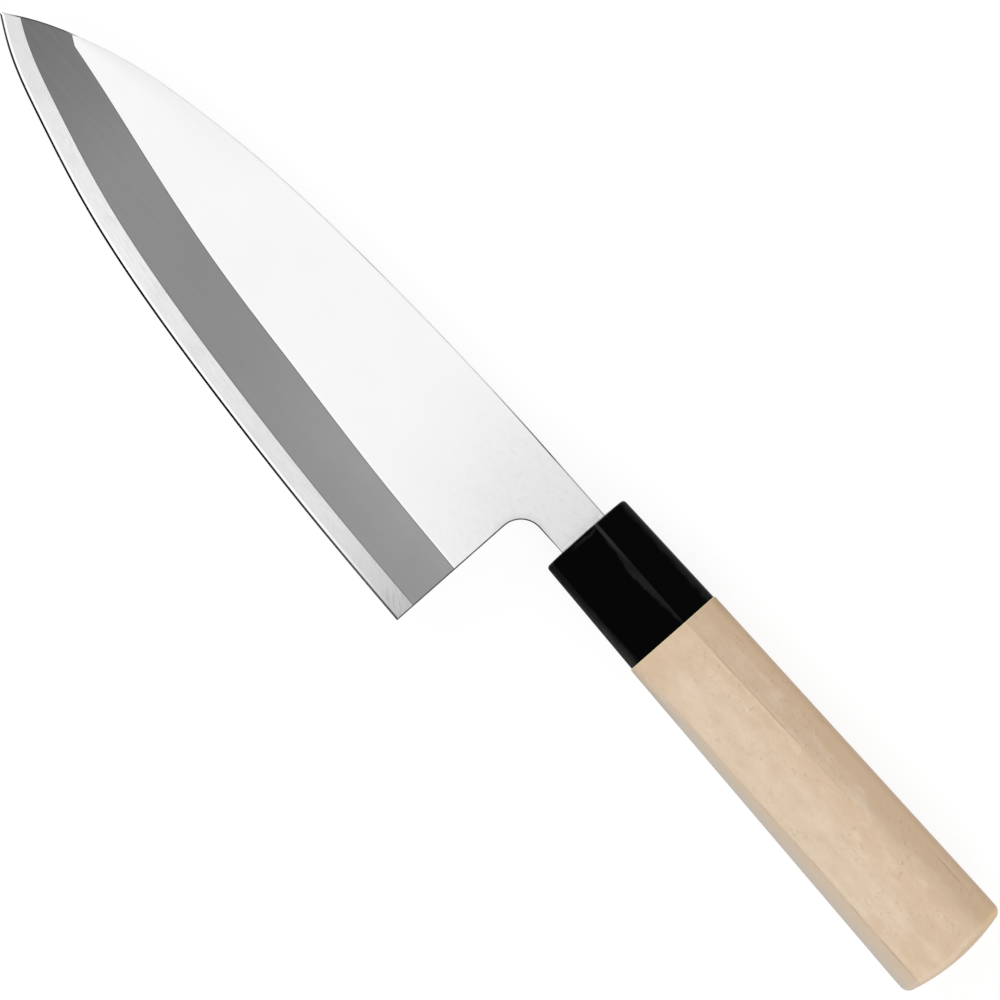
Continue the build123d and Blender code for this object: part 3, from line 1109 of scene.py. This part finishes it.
# How pale the marks on the steel are, painted shade, reflections, highlights and glints among them
flat_cloud = grey(0.78)
flat_spine_shade = grey(0.8)
flat_highlight_line = grey(0.98)
flat_speck = grey(0.6)
flat_at_choil = grey(0.5)
bevel_paler_reflection = grey(0.4)
bevel_hair = grey(0.34)
bevel_cloud = grey(0.21)
bevel_rim_shade = grey(0.07)
strip_scratch = grey(0.55)
strip_painted_glint = grey(0.92)
strip_patch = grey(0.62)
strip_smudge = grey(0.6)
strip_mark = grey(0.26)
strip_bright = grey(0.97)
micro_speck = grey(0.06)
eased_shade = grey(0.07)
eased_speck = grey(0.3)
side_pale = grey(0.72)
side_dark = grey(0.5)
hollow_pale = grey(0.78)
hollow_dark = grey(0.62)
hollow_cloud = grey(0.66)
rim_pale = grey(0.9)
rim_dark = grey(0.76)
scale_dark = grey(0.09)
scale_brown = (0.2, 0.17, 0.15, 1)


def satin_flat():
    """The flat above the bevel: pale and satin, a little greyer towards the neck as a painted reflection,
    with painted shade near the spine towards the tip, painted highlight lines along the bevel line and at
    the mouth, and greyer round the choil.
    """
    material, make, shader, place = steel("satin steel of the flat")
    along, across, _ = from_knife(make, place)
    cloudy = noise(make, place, 34, 3.0)
    grain = noise(make, stretched(make, place, (60, 2400, 60)), 1.0, 2.0)
    fine = noise(make, stretched(make, place, (500, 900, 900)), 1.0, 3.0, 0.7)
    near_neck = distance_from(make, along, across, (0, 0))
    from_bevel = grind_place(make)[1]
    colour = toned(make, near_neck, flat_tones_and_reflection[-1][0], flat_tones_and_reflection)
    # Painted shade along the spine towards the tip
    spine_shade_share = ranged(make, from_bevel, 0.5, 1, 0, 0.8, True)
    spine_shade_share = both(make, spine_shade_share, ranged(make, along, -0.11, -0.17, 0, 1))
    colour = tinted(make, spine_shade_share, colour, flat_spine_shade)
    colour = tinted(make, ranged(make, cloudy, 0.35, 0.7, 0, 0.14), colour, flat_cloud)
    # Painted highlight lines along the bevel line and at the mouth
    highlight_lines = any_of(
        make,
        ranged(make, from_bevel, 0.016, 0.006, 0, 0.6),
        ranged(make, along, -0.0018, -0.0013, 0, 0.9),
    )
    colour = tinted(make, highlight_lines, colour, flat_highlight_line)

    # Towards the handle the grinding marks show as faint specks
    speckled = both(make, ranged(make, near_neck, 0.045, 0.01, 0, 0.4), ranged(make, fine, 0.5, 0.7, 0, 1))
    colour = tinted(make, speckled, colour, flat_speck)
    choil_middle = (choil_radius - heel_setback, -neck_drop - neck_flare - choil_radius)
    from_choil = distance_from(make, along, across, choil_middle)
    round_choil = ranged(make, from_choil, choil_radius * 1.4, choil_radius, 0, 0.3, True)
    colour = tinted(make, round_choil, colour, flat_at_choil)
    surfaced(make, shader, colour, ranged(make, grain, 0.2, 0.8, 0.27, 0.35))
    relief(make, shader, grain, 0.04, 0.00002)
    return material


def bevel_finish():
    """The bevel: smooth mid-grey steel, its ground finish partly darker, with a painted reflection that
    darkens it towards the tip and pales it near the heel, and painted shade along both its borders.
    """
    material, make, shader, place = steel("smooth steel of the bevel")
    along, across, _ = grind_place(make)
    hair = noise(make, stretched(make, place, (30, 1500, 1500)), 1.0, 3.0)
    cloudy = noise(make, place, 60, 3.0)
    colour = toned(make, along, blade_reach, bevel_tones_and_reflection)
    # Painted reflection: paler towards the heel
    paler = both(make, ranged(make, along, 0.1, 0.05, 0, 0.3), ranged(make, across, 0.2, 0.9, 0, 1))
    colour = tinted(make, paler, colour, bevel_paler_reflection)
    colour = tinted(make, ranged(make, hair, 0.35, 0.75, 0, 0.1), colour, bevel_hair)
    colour = tinted(make, ranged(make, cloudy, 0.4, 0.65, 0, 0.12), colour, bevel_cloud)
    # Painted shade lines along both borders of the bevel
    upper_rim = ranged(make, across, 0.975, 0.995, 0, 0.5)
    lower_rim = ranged(make, across, 0.03, 0.005, 0, 0.35)
    colour = tinted(make, any_of(make, upper_rim, lower_rim), colour, bevel_rim_shade)
    surfaced(make, shader, colour, ranged(make, hair, 0.3, 0.7, 0.2, 0.28))
    relief(make, shader, hair, 0.01, 0.00001)
    return material


def strip_finish():
    """The strip along the edge: bright, with fine slanting scratches from the stone."""
    material, make, shader, place = steel("scratched steel of the edge strip")
    along, across, _ = grind_place(make)
    height = make.times(across, strip_height)
    slant = make.vector(make.scaled(height, 0.9, along), height)
    brushed = make.vector(make.scaled(height, -1.3, along), height)
    scratches = noise(make, stretched(make, slant, (130, 1700, 1)), 1.0, 4.0, 0.7)
    marks = noise(make, stretched(make, brushed, (1900, 260, 1)), 1.0, 3.0, 0.6)
    patches = noise(make, stretched(make, place, (120, 220, 1)), 1.0, 3.0)
    colour = toned(make, along, blade_reach, strip_tones)
    colour = tinted(make, ranged(make, scratches, 0.4, 0.75, 0, 0.5), colour, strip_scratch)
    # Painted glints where the scratches catch the light
    colour = tinted(make, ranged(make, scratches, 0.42, 0.25, 0, 0.5), colour, strip_painted_glint)
    colour = tinted(make, ranged(make, patches, 0.5, 0.7, 0, 0.35), colour, strip_patch)
    smudges = noise(make, stretched(make, slant, (300, 900, 1)), 1.0, 2.0, 0.6)
    smudged = both(make, ranged(make, smudges, 0.52, 0.66, 0, 0.4), ranged(make, across, 0.35, 0.8, 0, 1))
    colour = tinted(make, smudged, colour, strip_smudge)
    at_heel = ranged(make, along, 0.036, 0.02, 0.12, 0.75, True)
    brush = both(make, at_heel, ranged(make, marks, 0.54, 0.68, 0, 0.7))
    colour = tinted(make, brush, colour, strip_mark)
    bright = both(make, ranged(make, across, 0.14, 0.1, 0, 0.8), ranged(make, along, 0.02, 0.045, 0, 1))
    colour = tinted(make, bright, colour, strip_bright)
    surfaced(make, shader, colour, ranged(make, scratches, 0.3, 0.7, 0.32, 0.5))
    relief(make, shader, scratches, 0.1, 0.00002)
    return material


def micro_finish():
    """The micro-bevel: a dark line of painted reflection, darkest in the middle of the blade."""
    material, make, shader, place = steel("honed micro-bevel")
    along = grind_place(make)[0]
    speckle = noise(make, place, 900, 2.0)
    colour = toned(make, along, blade_reach, micro_reflection_tones)
    colour = tinted(make, ranged(make, speckle, 0.5, 0.8, 0, 0.2), colour, micro_speck)
    surfaced(make, shader, colour, ranged(make, speckle, 0.3, 0.7, 0.3, 0.45))
    return material


def eased_finish():
    """The eased upper edges: painted shade and reflection, dark round the heel and the choil, and mostly
    pale along the spine.
    """
    material, make, shader, place = steel("eased edges of the steel")
    along, across, _ = from_knife(make, place)
    speckle = noise(make, place, 500, 2.0)
    spine = toned(make, make.times(along, -1), blade_reach, spine_shade_tones)
    near_heel = make.maths("GREATER_THAN", along, -heel_setback - eased_edge * 2)
    below = both(make, near_heel, make.maths("LESS_THAN", across, 0))
    colour = tinted(make, below, spine, eased_shade)
    colour = tinted(make, ranged(make, speckle, 0.4, 0.8, 0, 0.25), colour, eased_speck)
    surfaced(make, shader, colour, ranged(make, speckle, 0.3, 0.7, 0.32, 0.45))
    return material


def side_finish():
    """Spine and heel seen from the side: ground across."""
    material, make, shader, place = steel("ground sides of the steel")
    grain = noise(make, stretched(make, place, (1800, 40, 300)), 1.0, 3.0)
    colour = tinted(make, ranged(make, grain, 0.3, 0.7, 0, 1), side_pale, side_dark)
    surfaced(make, shader, colour, ranged(make, grain, 0.3, 0.7, 0.3, 0.45))
    relief(make, shader, grain, 0.08, 0.00002)
    return material


def back_finish():
    """The hollow back: satin, ground across the blade, inside a flat rim that is honed along it."""
    material, make, shader, place = steel("hollow-ground steel of the back")
    in_hollow = grind_place(make)[1]
    grain = noise(make, stretched(make, place, (1500, 30, 100)), 1.0, 3.0)
    honed = noise(make, stretched(make, place, (60, 2200, 100)), 1.0, 3.0, 0.6)
    cloudy = noise(make, place, 30, 2.0)
    hollow = tinted(make, ranged(make, grain, 0.3, 0.7, 0, 1), hollow_pale, hollow_dark)
    hollow = tinted(make, ranged(make, cloudy, 0.3, 0.7, 0, 0.4), hollow, hollow_cloud)
    rim = tinted(make, ranged(make, honed, 0.35, 0.7, 0, 1), rim_pale, rim_dark)
    colour = tinted(make, in_hollow, rim, hollow)
    marks = make.mix(in_hollow, honed, grain)
    surfaced(make, shader, colour, ranged(make, marks, 0.3, 0.7, 0.22, 0.34))
    relief(make, shader, marks, 0.06, 0.00002)
    return material


def tang_finish():
    """The tang inside the handle: dark scale from the forge."""
    material, make, shader, place = steel("scaled steel of the tang", 0.7)
    scale = noise(make, place, 220, 4.0, 0.65)
    colour = tinted(make, ranged(make, scale, 0.35, 0.7, 0, 1), scale_dark, scale_brown)
    surfaced(make, shader, colour, ranged(make, scale, 0.3, 0.7, 0.5, 0.75))
    relief(make, shader, scale, 0.3, 0.0001)
    return material


# The ferrule's black, and the paler tones of its painted sheen and highlights
black_tones = (grey(0.0003), grey(0.0008))
black_painted_sheen = grey(0.013)
black_crest_highlight = grey(0.035)
ferrule_ridge = 0.0037


def black_gloss():
    """The ferrule: deep glossy black, with a painted sheen below the ridge and along both sides, and
    painted highlights on the ridge's crest and the lower rim.
    """
    material, make, shader, place = new_finish("glossy black of the ferrule")
    shader.inputs["Specular IOR Level"].default_value = 0.02
    along, across, up = from_knife(make, place)
    swell = noise(make, stretched(make, place, (60, 240, 240)), 1.0, 2.0)
    ragged = noise(make, stretched(make, place, (260, 420, 420)), 1.0, 2.0)
    fine = noise(make, place, 1400, 2.0)
    colour = tinted(make, ranged(make, fine, 0.3, 0.8, 0, 1), *black_tones)
    upper_side = make.maths("GREATER_THAN", up, 0)

    # The painted sheen below the ridge is a wedge: narrow at the mouth and at the joint, wide between them
    below_ridge = make.minus(ferrule_ridge, across)
    widening = ranged(make, along, 0.001, 0.014, 0, 1)
    narrowing = ranged(make, along, 0.031, 0.016, 0, 1)
    width = make.scaled(make.maths("MINIMUM", widening, narrowing), 0.0014, 0.0011)
    width = wavered(make, width, ragged, 0.0018)
    inside = ranged(make, make.minus(width, below_ridge), 0, 0.0008, 0, 1, True)
    uneven = ranged(make, swell, 0.35, 0.6, 0.5, 1)
    band = both(make, inside, ranged(make, below_ridge, 0, 0.0002, 0, 1), uneven, upper_side)
    # A painted highlight along the crest of the ridge
    crest = line_at(make, below_ridge, 0.0005, 0.0006)
    crest = both(make, crest, ranged(make, along, 0.014, 0.004, 0, 0.7), upper_side)

    # Painted highlights: each side catches light in an uneven band along its outline, and so does the
    # mouth's lower edge
    above_back = ranged(make, up, -0.005, -0.001, 0, 1, True)
    wavering = wavered(make, across, ragged, 0.0016)
    low_wavering = make.plus(wavering, ranged(make, along, 0.028, 0.002, 0, 0.0009))
    low_side = both(make, ranged(make, low_wavering, -0.0109, -0.0125, 0, 0.95, True), above_back)
    high_side = both(make, ranged(make, wavering, 0.0108, 0.0121, 0, 0.85, True), above_back)
    mouth_line = line_at(make, make.scaled(ragged, 0.0012, along), 0.0009, 0.0005)
    mouth_span = both(
        make,
        ranged(make, across, 0.003, 0.002, 0, 0.7),
        ranged(make, across, -0.007, -0.001, 0, 1, True),
    )
    mouth_line = both(make, mouth_line, mouth_span, upper_side)
    sheen = any_of(make, band, low_side, high_side, mouth_line)
    colour = tinted(make, sheen, colour, black_painted_sheen)
    # A painted highlight along the lower outline
    rim = both(make, ranged(make, wavering, -0.0123, -0.0131, 0, 0.6), above_back)
    colour = tinted(make, any_of(make, crest, rim), colour, black_crest_highlight)
    surfaced(make, shader, colour, ranged(make, fine, 0.3, 0.7, 0.14, 0.22))
    relief(make, shader, swell, 0.25, 0.0002)
    return material


# The wood's colours, its painted shade and highlights among them, and where its ridge lies at the joint
wood_rosy = (0.7, 0.53, 0.37, 1)
wood_cream = (0.735, 0.59, 0.44, 1)
wood_grain = (0.65, 0.48, 0.33, 1)
wood_dark_mottle = (0.64, 0.47, 0.32, 1)
wood_pale_mottle = (0.79, 0.65, 0.49, 1)
wood_pores = (0.55, 0.4, 0.27, 1)
wood_tan_and_painted_shade = (0.655, 0.47, 0.31, 1)
wood_yellow = (0.44, 0.3, 0.13, 1)
wood_orange = (0.74, 0.52, 0.26, 1)
wood_facet_shade = (0.62, 0.497, 0.376, 1)
wood_ashen_shade = (0.555, 0.497, 0.43, 1)
wood_outline_shade = (0.36, 0.31, 0.26, 1)
wood_dark = (0.42, 0.3, 0.2, 1)
wood_highlight = (0.86, 0.72, 0.55, 1)
wood_joint = (0.86, 0.72, 0.42, 1)
wood_rim_highlight = (0.88, 0.76, 0.6, 1)
end_grain_tones = ((0.64, 0.49, 0.34, 1), (0.5, 0.36, 0.23, 1))
resin_tones = ((0.3, 0.16, 0.05, 1), (0.5, 0.3, 0.12, 1))
wood_ridge = 0.0041
fleck_width = 0.00028


def wood_ground(make, place, along, across):
    """The wood's own colour: cream on the lower flank, rosier near both ends and the ridge."""
    grain = noise(make, stretched(make, place, (26, 520, 520)), 1.0, 4.0, 0.6, 0.4)
    mottle = noise(make, stretched(make, place, (130, 240, 240)), 1.0, 4.0, 0.6)
    broad = noise(make, stretched(make, place, (22, 80, 80)), 1.0, 3.0)
    fine = noise(make, stretched(make, place, (900, 1800, 1800)), 1.0, 2.0)
    uneven = wavered(make, across, broad, 0.014)
    creamy = both(
        make,
        ranged(make, uneven, 0.002, -0.005, 0, 1, True),
        ranged(make, along, 0.034, 0.046, 0, 1, True),
        ranged(make, along, 0.134, 0.112, 0.4, 1, True),
    )
    colour = tinted(make, creamy, wood_rosy, wood_cream)
    colour = tinted(make, ranged(make, grain, 0.35, 0.75, 0, 0.3), colour, wood_grain)
    colour = tinted(make, ranged(make, mottle, 0.5, 0.66, 0, 0.5), colour, wood_dark_mottle)
    colour = tinted(make, ranged(make, mottle, 0.47, 0.33, 0, 0.5), colour, wood_pale_mottle)
    colour = tinted(make, ranged(make, fine, 0.5, 0.75, 0, 0.22), colour, wood_pores)
    return colour, grain, mottle


def upper_flank(make, colour, along, across, mottle):
    """The upper flank darkens past an uneven line, partly its own tan and partly painted shade where it
    turns away from the light, and is yellower at the joint and at the butt.
    """
    border = wavered(make, across, mottle, 0.004)
    # Painted shade on the upper flank, partly its own tan
    colour = tinted(make, ranged(make, border, 0.0086, 0.0104, 0, 0.85, True), colour, wood_tan_and_painted_shade)
    at_joint = ranged(make, along, 0.042, 0.034, 0, 0.5)
    at_joint = both(make, at_joint, ranged(make, across, 0.0115, 0.0135, 0, 1))
    colour = tinted(make, at_joint, colour, wood_yellow)
    at_butt = ranged(make, along, 0.134, 0.139, 0, 0.6)
    at_butt = both(make, at_butt, ranged(make, across, 0.007, 0.012, 0, 1))
    return tinted(make, at_butt, colour, wood_orange)


def lower_facet(make, colour, along, across, up, mottle):
    """The steep facet along the lower side is a shade darker, partly its own tone and partly painted shade,
    and turns ashen with painted shade towards the outline, darkest near the joint, where the side turns
    away from the light.
    """
    widening = (butt_below - grip_below) / (handle_length - butt_parallel - ferrule_length)
    from_outline = make.scaled(make.minus(along, ferrule_length), widening, across)
    from_outline = make.plus(from_outline, grip_below)
    wavy = wavered(make, across, mottle, 0.0012)
    wavy = make.minus(wavy, ranged(make, along, 0.07, 0.09, 0, 0.0003))
    above_back = ranged(make, up, -0.006, -0.001, 0, 1, True)
    facet_span = both(make, ranged(make, along, 0.04, 0.054, 0, 1, True), above_back)
    # Painted shade on the facet, partly its own tone
    facet = both(make, ranged(make, wavy, -0.0117, -0.0123, 0, 0.9, True), facet_span)
    colour = tinted(make, facet, colour, wood_facet_shade)
    # Painted shade towards the outline, ashen, and dusky near the joint
    ashen_span = both(make, ranged(make, along, 0.034, 0.048, 0.4, 1), above_back)
    ashen = both(make, ranged(make, from_outline, 0.0024, 0.0002, 0, 1), ashen_span)
    colour = tinted(make, ashen, colour, wood_ashen_shade)
    dusky_span = both(make, ranged(make, along, 0.052, 0.044, 0, 1), above_back)
    dusky = both(make, ranged(make, from_outline, 0.0014, 0.0002, 0, 0.4), dusky_span)
    return tinted(make, dusky, colour, wood_outline_shade)


def wood_flecks(make, place, along, across):
    """Short flecks, dark on one side and with a painted highlight on the other, as if in relief, thick near
    the ridge and rare elsewhere.
    """
    crowd = noise(make, stretched(make, place, (75, 130, 130)), 1.0, 3.0)
    near_ridge = ranged(make, across, -0.009, 0.003, 0, 1, True)
    near_joint = ranged(make, along, 0.11, 0.05, 0.35, 1, True)
    crowded = make.scaled(both(make, near_ridge, near_joint), 0.12, crowd)
    sides = []
    for shift in (0, fleck_width):
        moved = make.add("ShaderNodeVectorMath", {0: place, 1: (shift, shift, 0)}, operation="ADD")
        flecks = noise(make, stretched(make, moved.outputs[0], (620, 980, 980)), 1.0, 1.0, 0.5, 0.4)
        flecks = ranged(make, flecks, 0.59, 0.75, 0, 1)
        sides.append(both(make, flecks, ranged(make, crowded, 0.5, 0.62, 0, 1)))
    # The second, shifted pattern gives the flecks' painted highlight side
    dark, light = sides
    return dark, make.minus(light, dark, clamp=True)


def wood_lines(make, place, along, across, up):
    """Where the flat sides meet: thin dark lines that come and go, and a painted highlight line below the
    ridge.
    """
    broken = noise(make, stretched(make, place, (90, 200, 200)), 1.0, 2.0)
    gaps = ranged(make, broken, 0.42, 0.56, 0.25, 1)
    upper_side = make.maths("GREATER_THAN", up, 0)
    ridge_run = make.minus(along, ferrule_length)
    from_ridge = make.scaled(ridge_run, -0.025, make.minus(across, wood_ridge))
    from_ridge = wavered(make, from_ridge, broken, 0.0006)
    fading = both(
        make,
        ranged(make, along, 0.1, 0.064, 0, 1, True),
        ranged(make, along, 0.034, 0.046, 0.4, 1, True),
    )
    ridge = both(make, line_at(make, from_ridge, 0, 0.00032), fading, gaps, upper_side)
    # A painted highlight line just below the ridge
    pale = both(make, line_at(make, from_ridge, -0.0006, 0.0005), fading, gaps, upper_side)
    crease_span = ranged(make, along, 0.113, 0.117, 0, 1)
    crease_span = both(make, crease_span, ranged(make, along, 0.132, 0.127, 0, 1))
    crease = both(make, line_at(make, across, 0.0123, 0.0003), crease_span)
    facet = line_at(make, across, ranged(make, along, 0.07, 0.1, -0.0122, -0.0118), 0.0004)
    facet = both(make, facet, ranged(make, along, 0.06, 0.11, 0, 1), gaps, upper_side)
    return any_of(make, ridge, both(make, crease, gaps), facet), pale


def pale_wood():
    """The grip: pale, close-grained wood, sanded, with soft mottling and small flecks, and painted shade
    and highlights on its flanks, ridge and butt.
    """
    material, make, shader, place = new_finish("pale sanded wood")
    along, across, up = from_knife(make, place)
    colour, grain, mottle = wood_ground(make, place, along, across)
    colour = upper_flank(make, colour, along, across, mottle)
    colour = lower_facet(make, colour, along, across, up, mottle)
    dark_flecks, fleck_highlights = wood_flecks(make, place, along, across)
    dark_lines, ridge_highlight_line = wood_lines(make, place, along, across, up)
    dark = any_of(make, both(make, dark_flecks, 0.36), both(make, dark_lines, 0.5))
    # Painted highlights: the light side of the flecks and the line below the ridge
    light = any_of(make, both(make, fleck_highlights, 0.2), both(make, ridge_highlight_line, 0.25))
    colour = tinted(make, dark, colour, wood_dark)
    colour = tinted(make, light, colour, wood_highlight)

    # The edge at the joint is pale yellow, the butt's rim has a painted highlight, and its face is end
    # grain
    colour = tinted(make, ranged(make, along, 0.0325, 0.0323, 0, 0.8), colour, wood_joint)
    squares = make.scaled(up, up, make.times(across, across))
    dome = make.times(squares, 0.5 / butt_dome_radius)
    from_face = make.minus(make.plus(along, dome), butt_end)
    rim = both(make, line_at(make, from_face, -0.0009, 0.0006), 0.13)
    colour = tinted(make, rim, colour, wood_rim_highlight)
    rings = noise(make, stretched(make, place, (1, 160, 900)), 1.0, 3.0, 0.6, 0.3)
    end_grain = tinted(make, ranged(make, rings, 0.35, 0.65, 0, 1), *end_grain_tones)
    colour = tinted(make, ranged(make, from_face, -0.0003, -0.0001, 0, 0.85), colour, end_grain)
    surfaced(make, shader, colour, ranged(make, grain, 0.3, 0.7, 0.5, 0.62))
    shader.inputs["Specular IOR Level"].default_value = 0.3
    fibre = make.minus(make.times(grain, 0.3), make.times(dark, 0.5))
    relief(make, shader, fibre, 0.2, 0.0001)
    return material


def amber_resin():
    """The cured resin round the tang."""
    material, make, shader, place = new_finish("amber resin")
    cloudy = noise(make, place, 300, 3.0)
    colour = tinted(make, cloudy, *resin_tones)
    surfaced(make, shader, colour, ranged(make, cloudy, 0.3, 0.7, 0.22, 0.35))
    return material


# Surroundings

floor_reach = 6.0
floor_tones = (grey(0.8), grey(0.82))
floor_dim = grey(0.15)
floor_glow = 0.88
fill_strength = 0.62
lamp_size = 0.8
lamp_power = 9
lamp_places = {
    "lamp beyond the tip": (-1.35, -0.3, 1.0),
    "lamp beyond the butt": (1.35, -0.3, 1.0),
}


def seen_directly(make):
    """1 where the camera sees a surface itself or in metal or glass, 0 for the light that it gives."""
    rays = make.add("ShaderNodeLightPath").outputs
    kinds = ("Is Camera Ray", "Is Glossy Ray", "Is Transmission Ray")
    return any_of(make, *(rays[kind] for kind in kinds))


def make_floor():
    """A pale floor, white to the camera apart from the knife's soft shadow."""
    mesh = bpy.data.meshes.new("floor")
    sides = ((-1, -1), (1, -1), (1, 1), (-1, 1))
    mesh.from_pydata([(x * floor_reach, y * floor_reach, 0) for x, y in sides], [], [(0, 1, 2, 3)])
    floor = bpy.data.objects.new("floor", mesh)
    bpy.context.scene.collection.objects.link(floor)
    material, make, shader, place = new_finish("pale floor")
    shader.inputs["Roughness"].default_value = 0.9
    shader.inputs["Specular IOR Level"].default_value = 0.0
    paper = noise(make, place, 40, 2.0)
    make.feed(shader.inputs["Base Color"], tinted(make, paper, *floor_tones))
    dim = make.add("ShaderNodeBsdfDiffuse", {"Color": floor_dim}).outputs[0]
    glow = make.add("ShaderNodeEmission", {"Color": grey(1), "Strength": floor_glow}).outputs[0]
    white = make.add("ShaderNodeAddShader", {0: dim, 1: glow}).outputs[0]
    inputs = {0: seen_directly(make), 1: shader.outputs[0], 2: white}
    mixed = make.add("ShaderNodeMixShader", inputs).outputs[0]
    make.feed(material.node_tree.nodes["Material Output"].inputs["Surface"], mixed)
    mesh.materials.append(material)


def make_world():
    """An even studio: white where it is seen, and a soft fill where it lights."""
    world = bpy.data.worlds.new("studio")
    world.use_nodes = True
    bpy.context.scene.world = world
    make = Tree(world.node_tree)
    fill = make.add("ShaderNodeBackground", {"Color": grey(1), "Strength": fill_strength}).outputs[0]
    white = make.add("ShaderNodeBackground", {"Color": grey(1), "Strength": 1.0}).outputs[0]
    mixed = make.add("ShaderNodeMixShader", {0: seen_directly(make), 1: fill, 2: white}).outputs[0]
    make.feed(world.node_tree.nodes["World Output"].inputs["Surface"], mixed)


def make_lamp(name, place):
    """A soft lamp that points at the middle of the knife."""
    light = bpy.data.lights.new(name, "AREA")
    light.shape = "SQUARE"
    light.size = lamp_size
    light.energy = lamp_power
    lamp = bpy.data.objects.new(name, light)
    lamp.location = place
    lamp.rotation_euler = (-Vector(place)).to_track_quat("-Z", "Y").to_euler()
    bpy.context.scene.collection.objects.link(lamp)


def make_camera():
    """Looks straight down at the knife from far away, as the photograph does."""
    data = bpy.data.cameras.new("camera")
    data.sensor_width = camera_sensor
    data.lens = camera_lens
    camera = bpy.data.objects.new("camera", data)
    distance = view_width * camera_lens / camera_sensor
    data.clip_end = distance * 2
    middle = knife_place + Vector((*view_middle, 0))
    camera.location = middle + Vector((0, 0, distance))
    camera.rotation_euler = (0, 0, camera_turn)
    bpy.context.scene.collection.objects.link(camera)
    bpy.context.scene.camera = camera


blade_finishes = {
    "flat": satin_flat(),
    "bevel": bevel_finish(),
    "strip": strip_finish(),
    "micro": micro_finish(),
    "eased": eased_finish(),
    "back": back_finish(),
    "side": side_finish(),
    "tang": tang_finish(),
}
blade = make_blade(blade_finishes)
handle = handle_tree(section_group())
ferrule = make_ferrule(handle, black_gloss())
grip = make_grip(handle, pale_wood())
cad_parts["tang_bedding"].material_slots[0].material = amber_resin()

for piece, node, slot in (
    (blade, "blade", "blade_steel"),
    (ferrule, "ferrule", "ferrule_black"),
    (grip, "grip", "grip_wood"),
):
    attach(piece, "root")
    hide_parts(node)

make_floor()
make_world()
for name, place in lamp_places.items():
    make_lamp(name, place)
make_camera()
bpy.context.scene.view_settings.view_transform = "Standard"
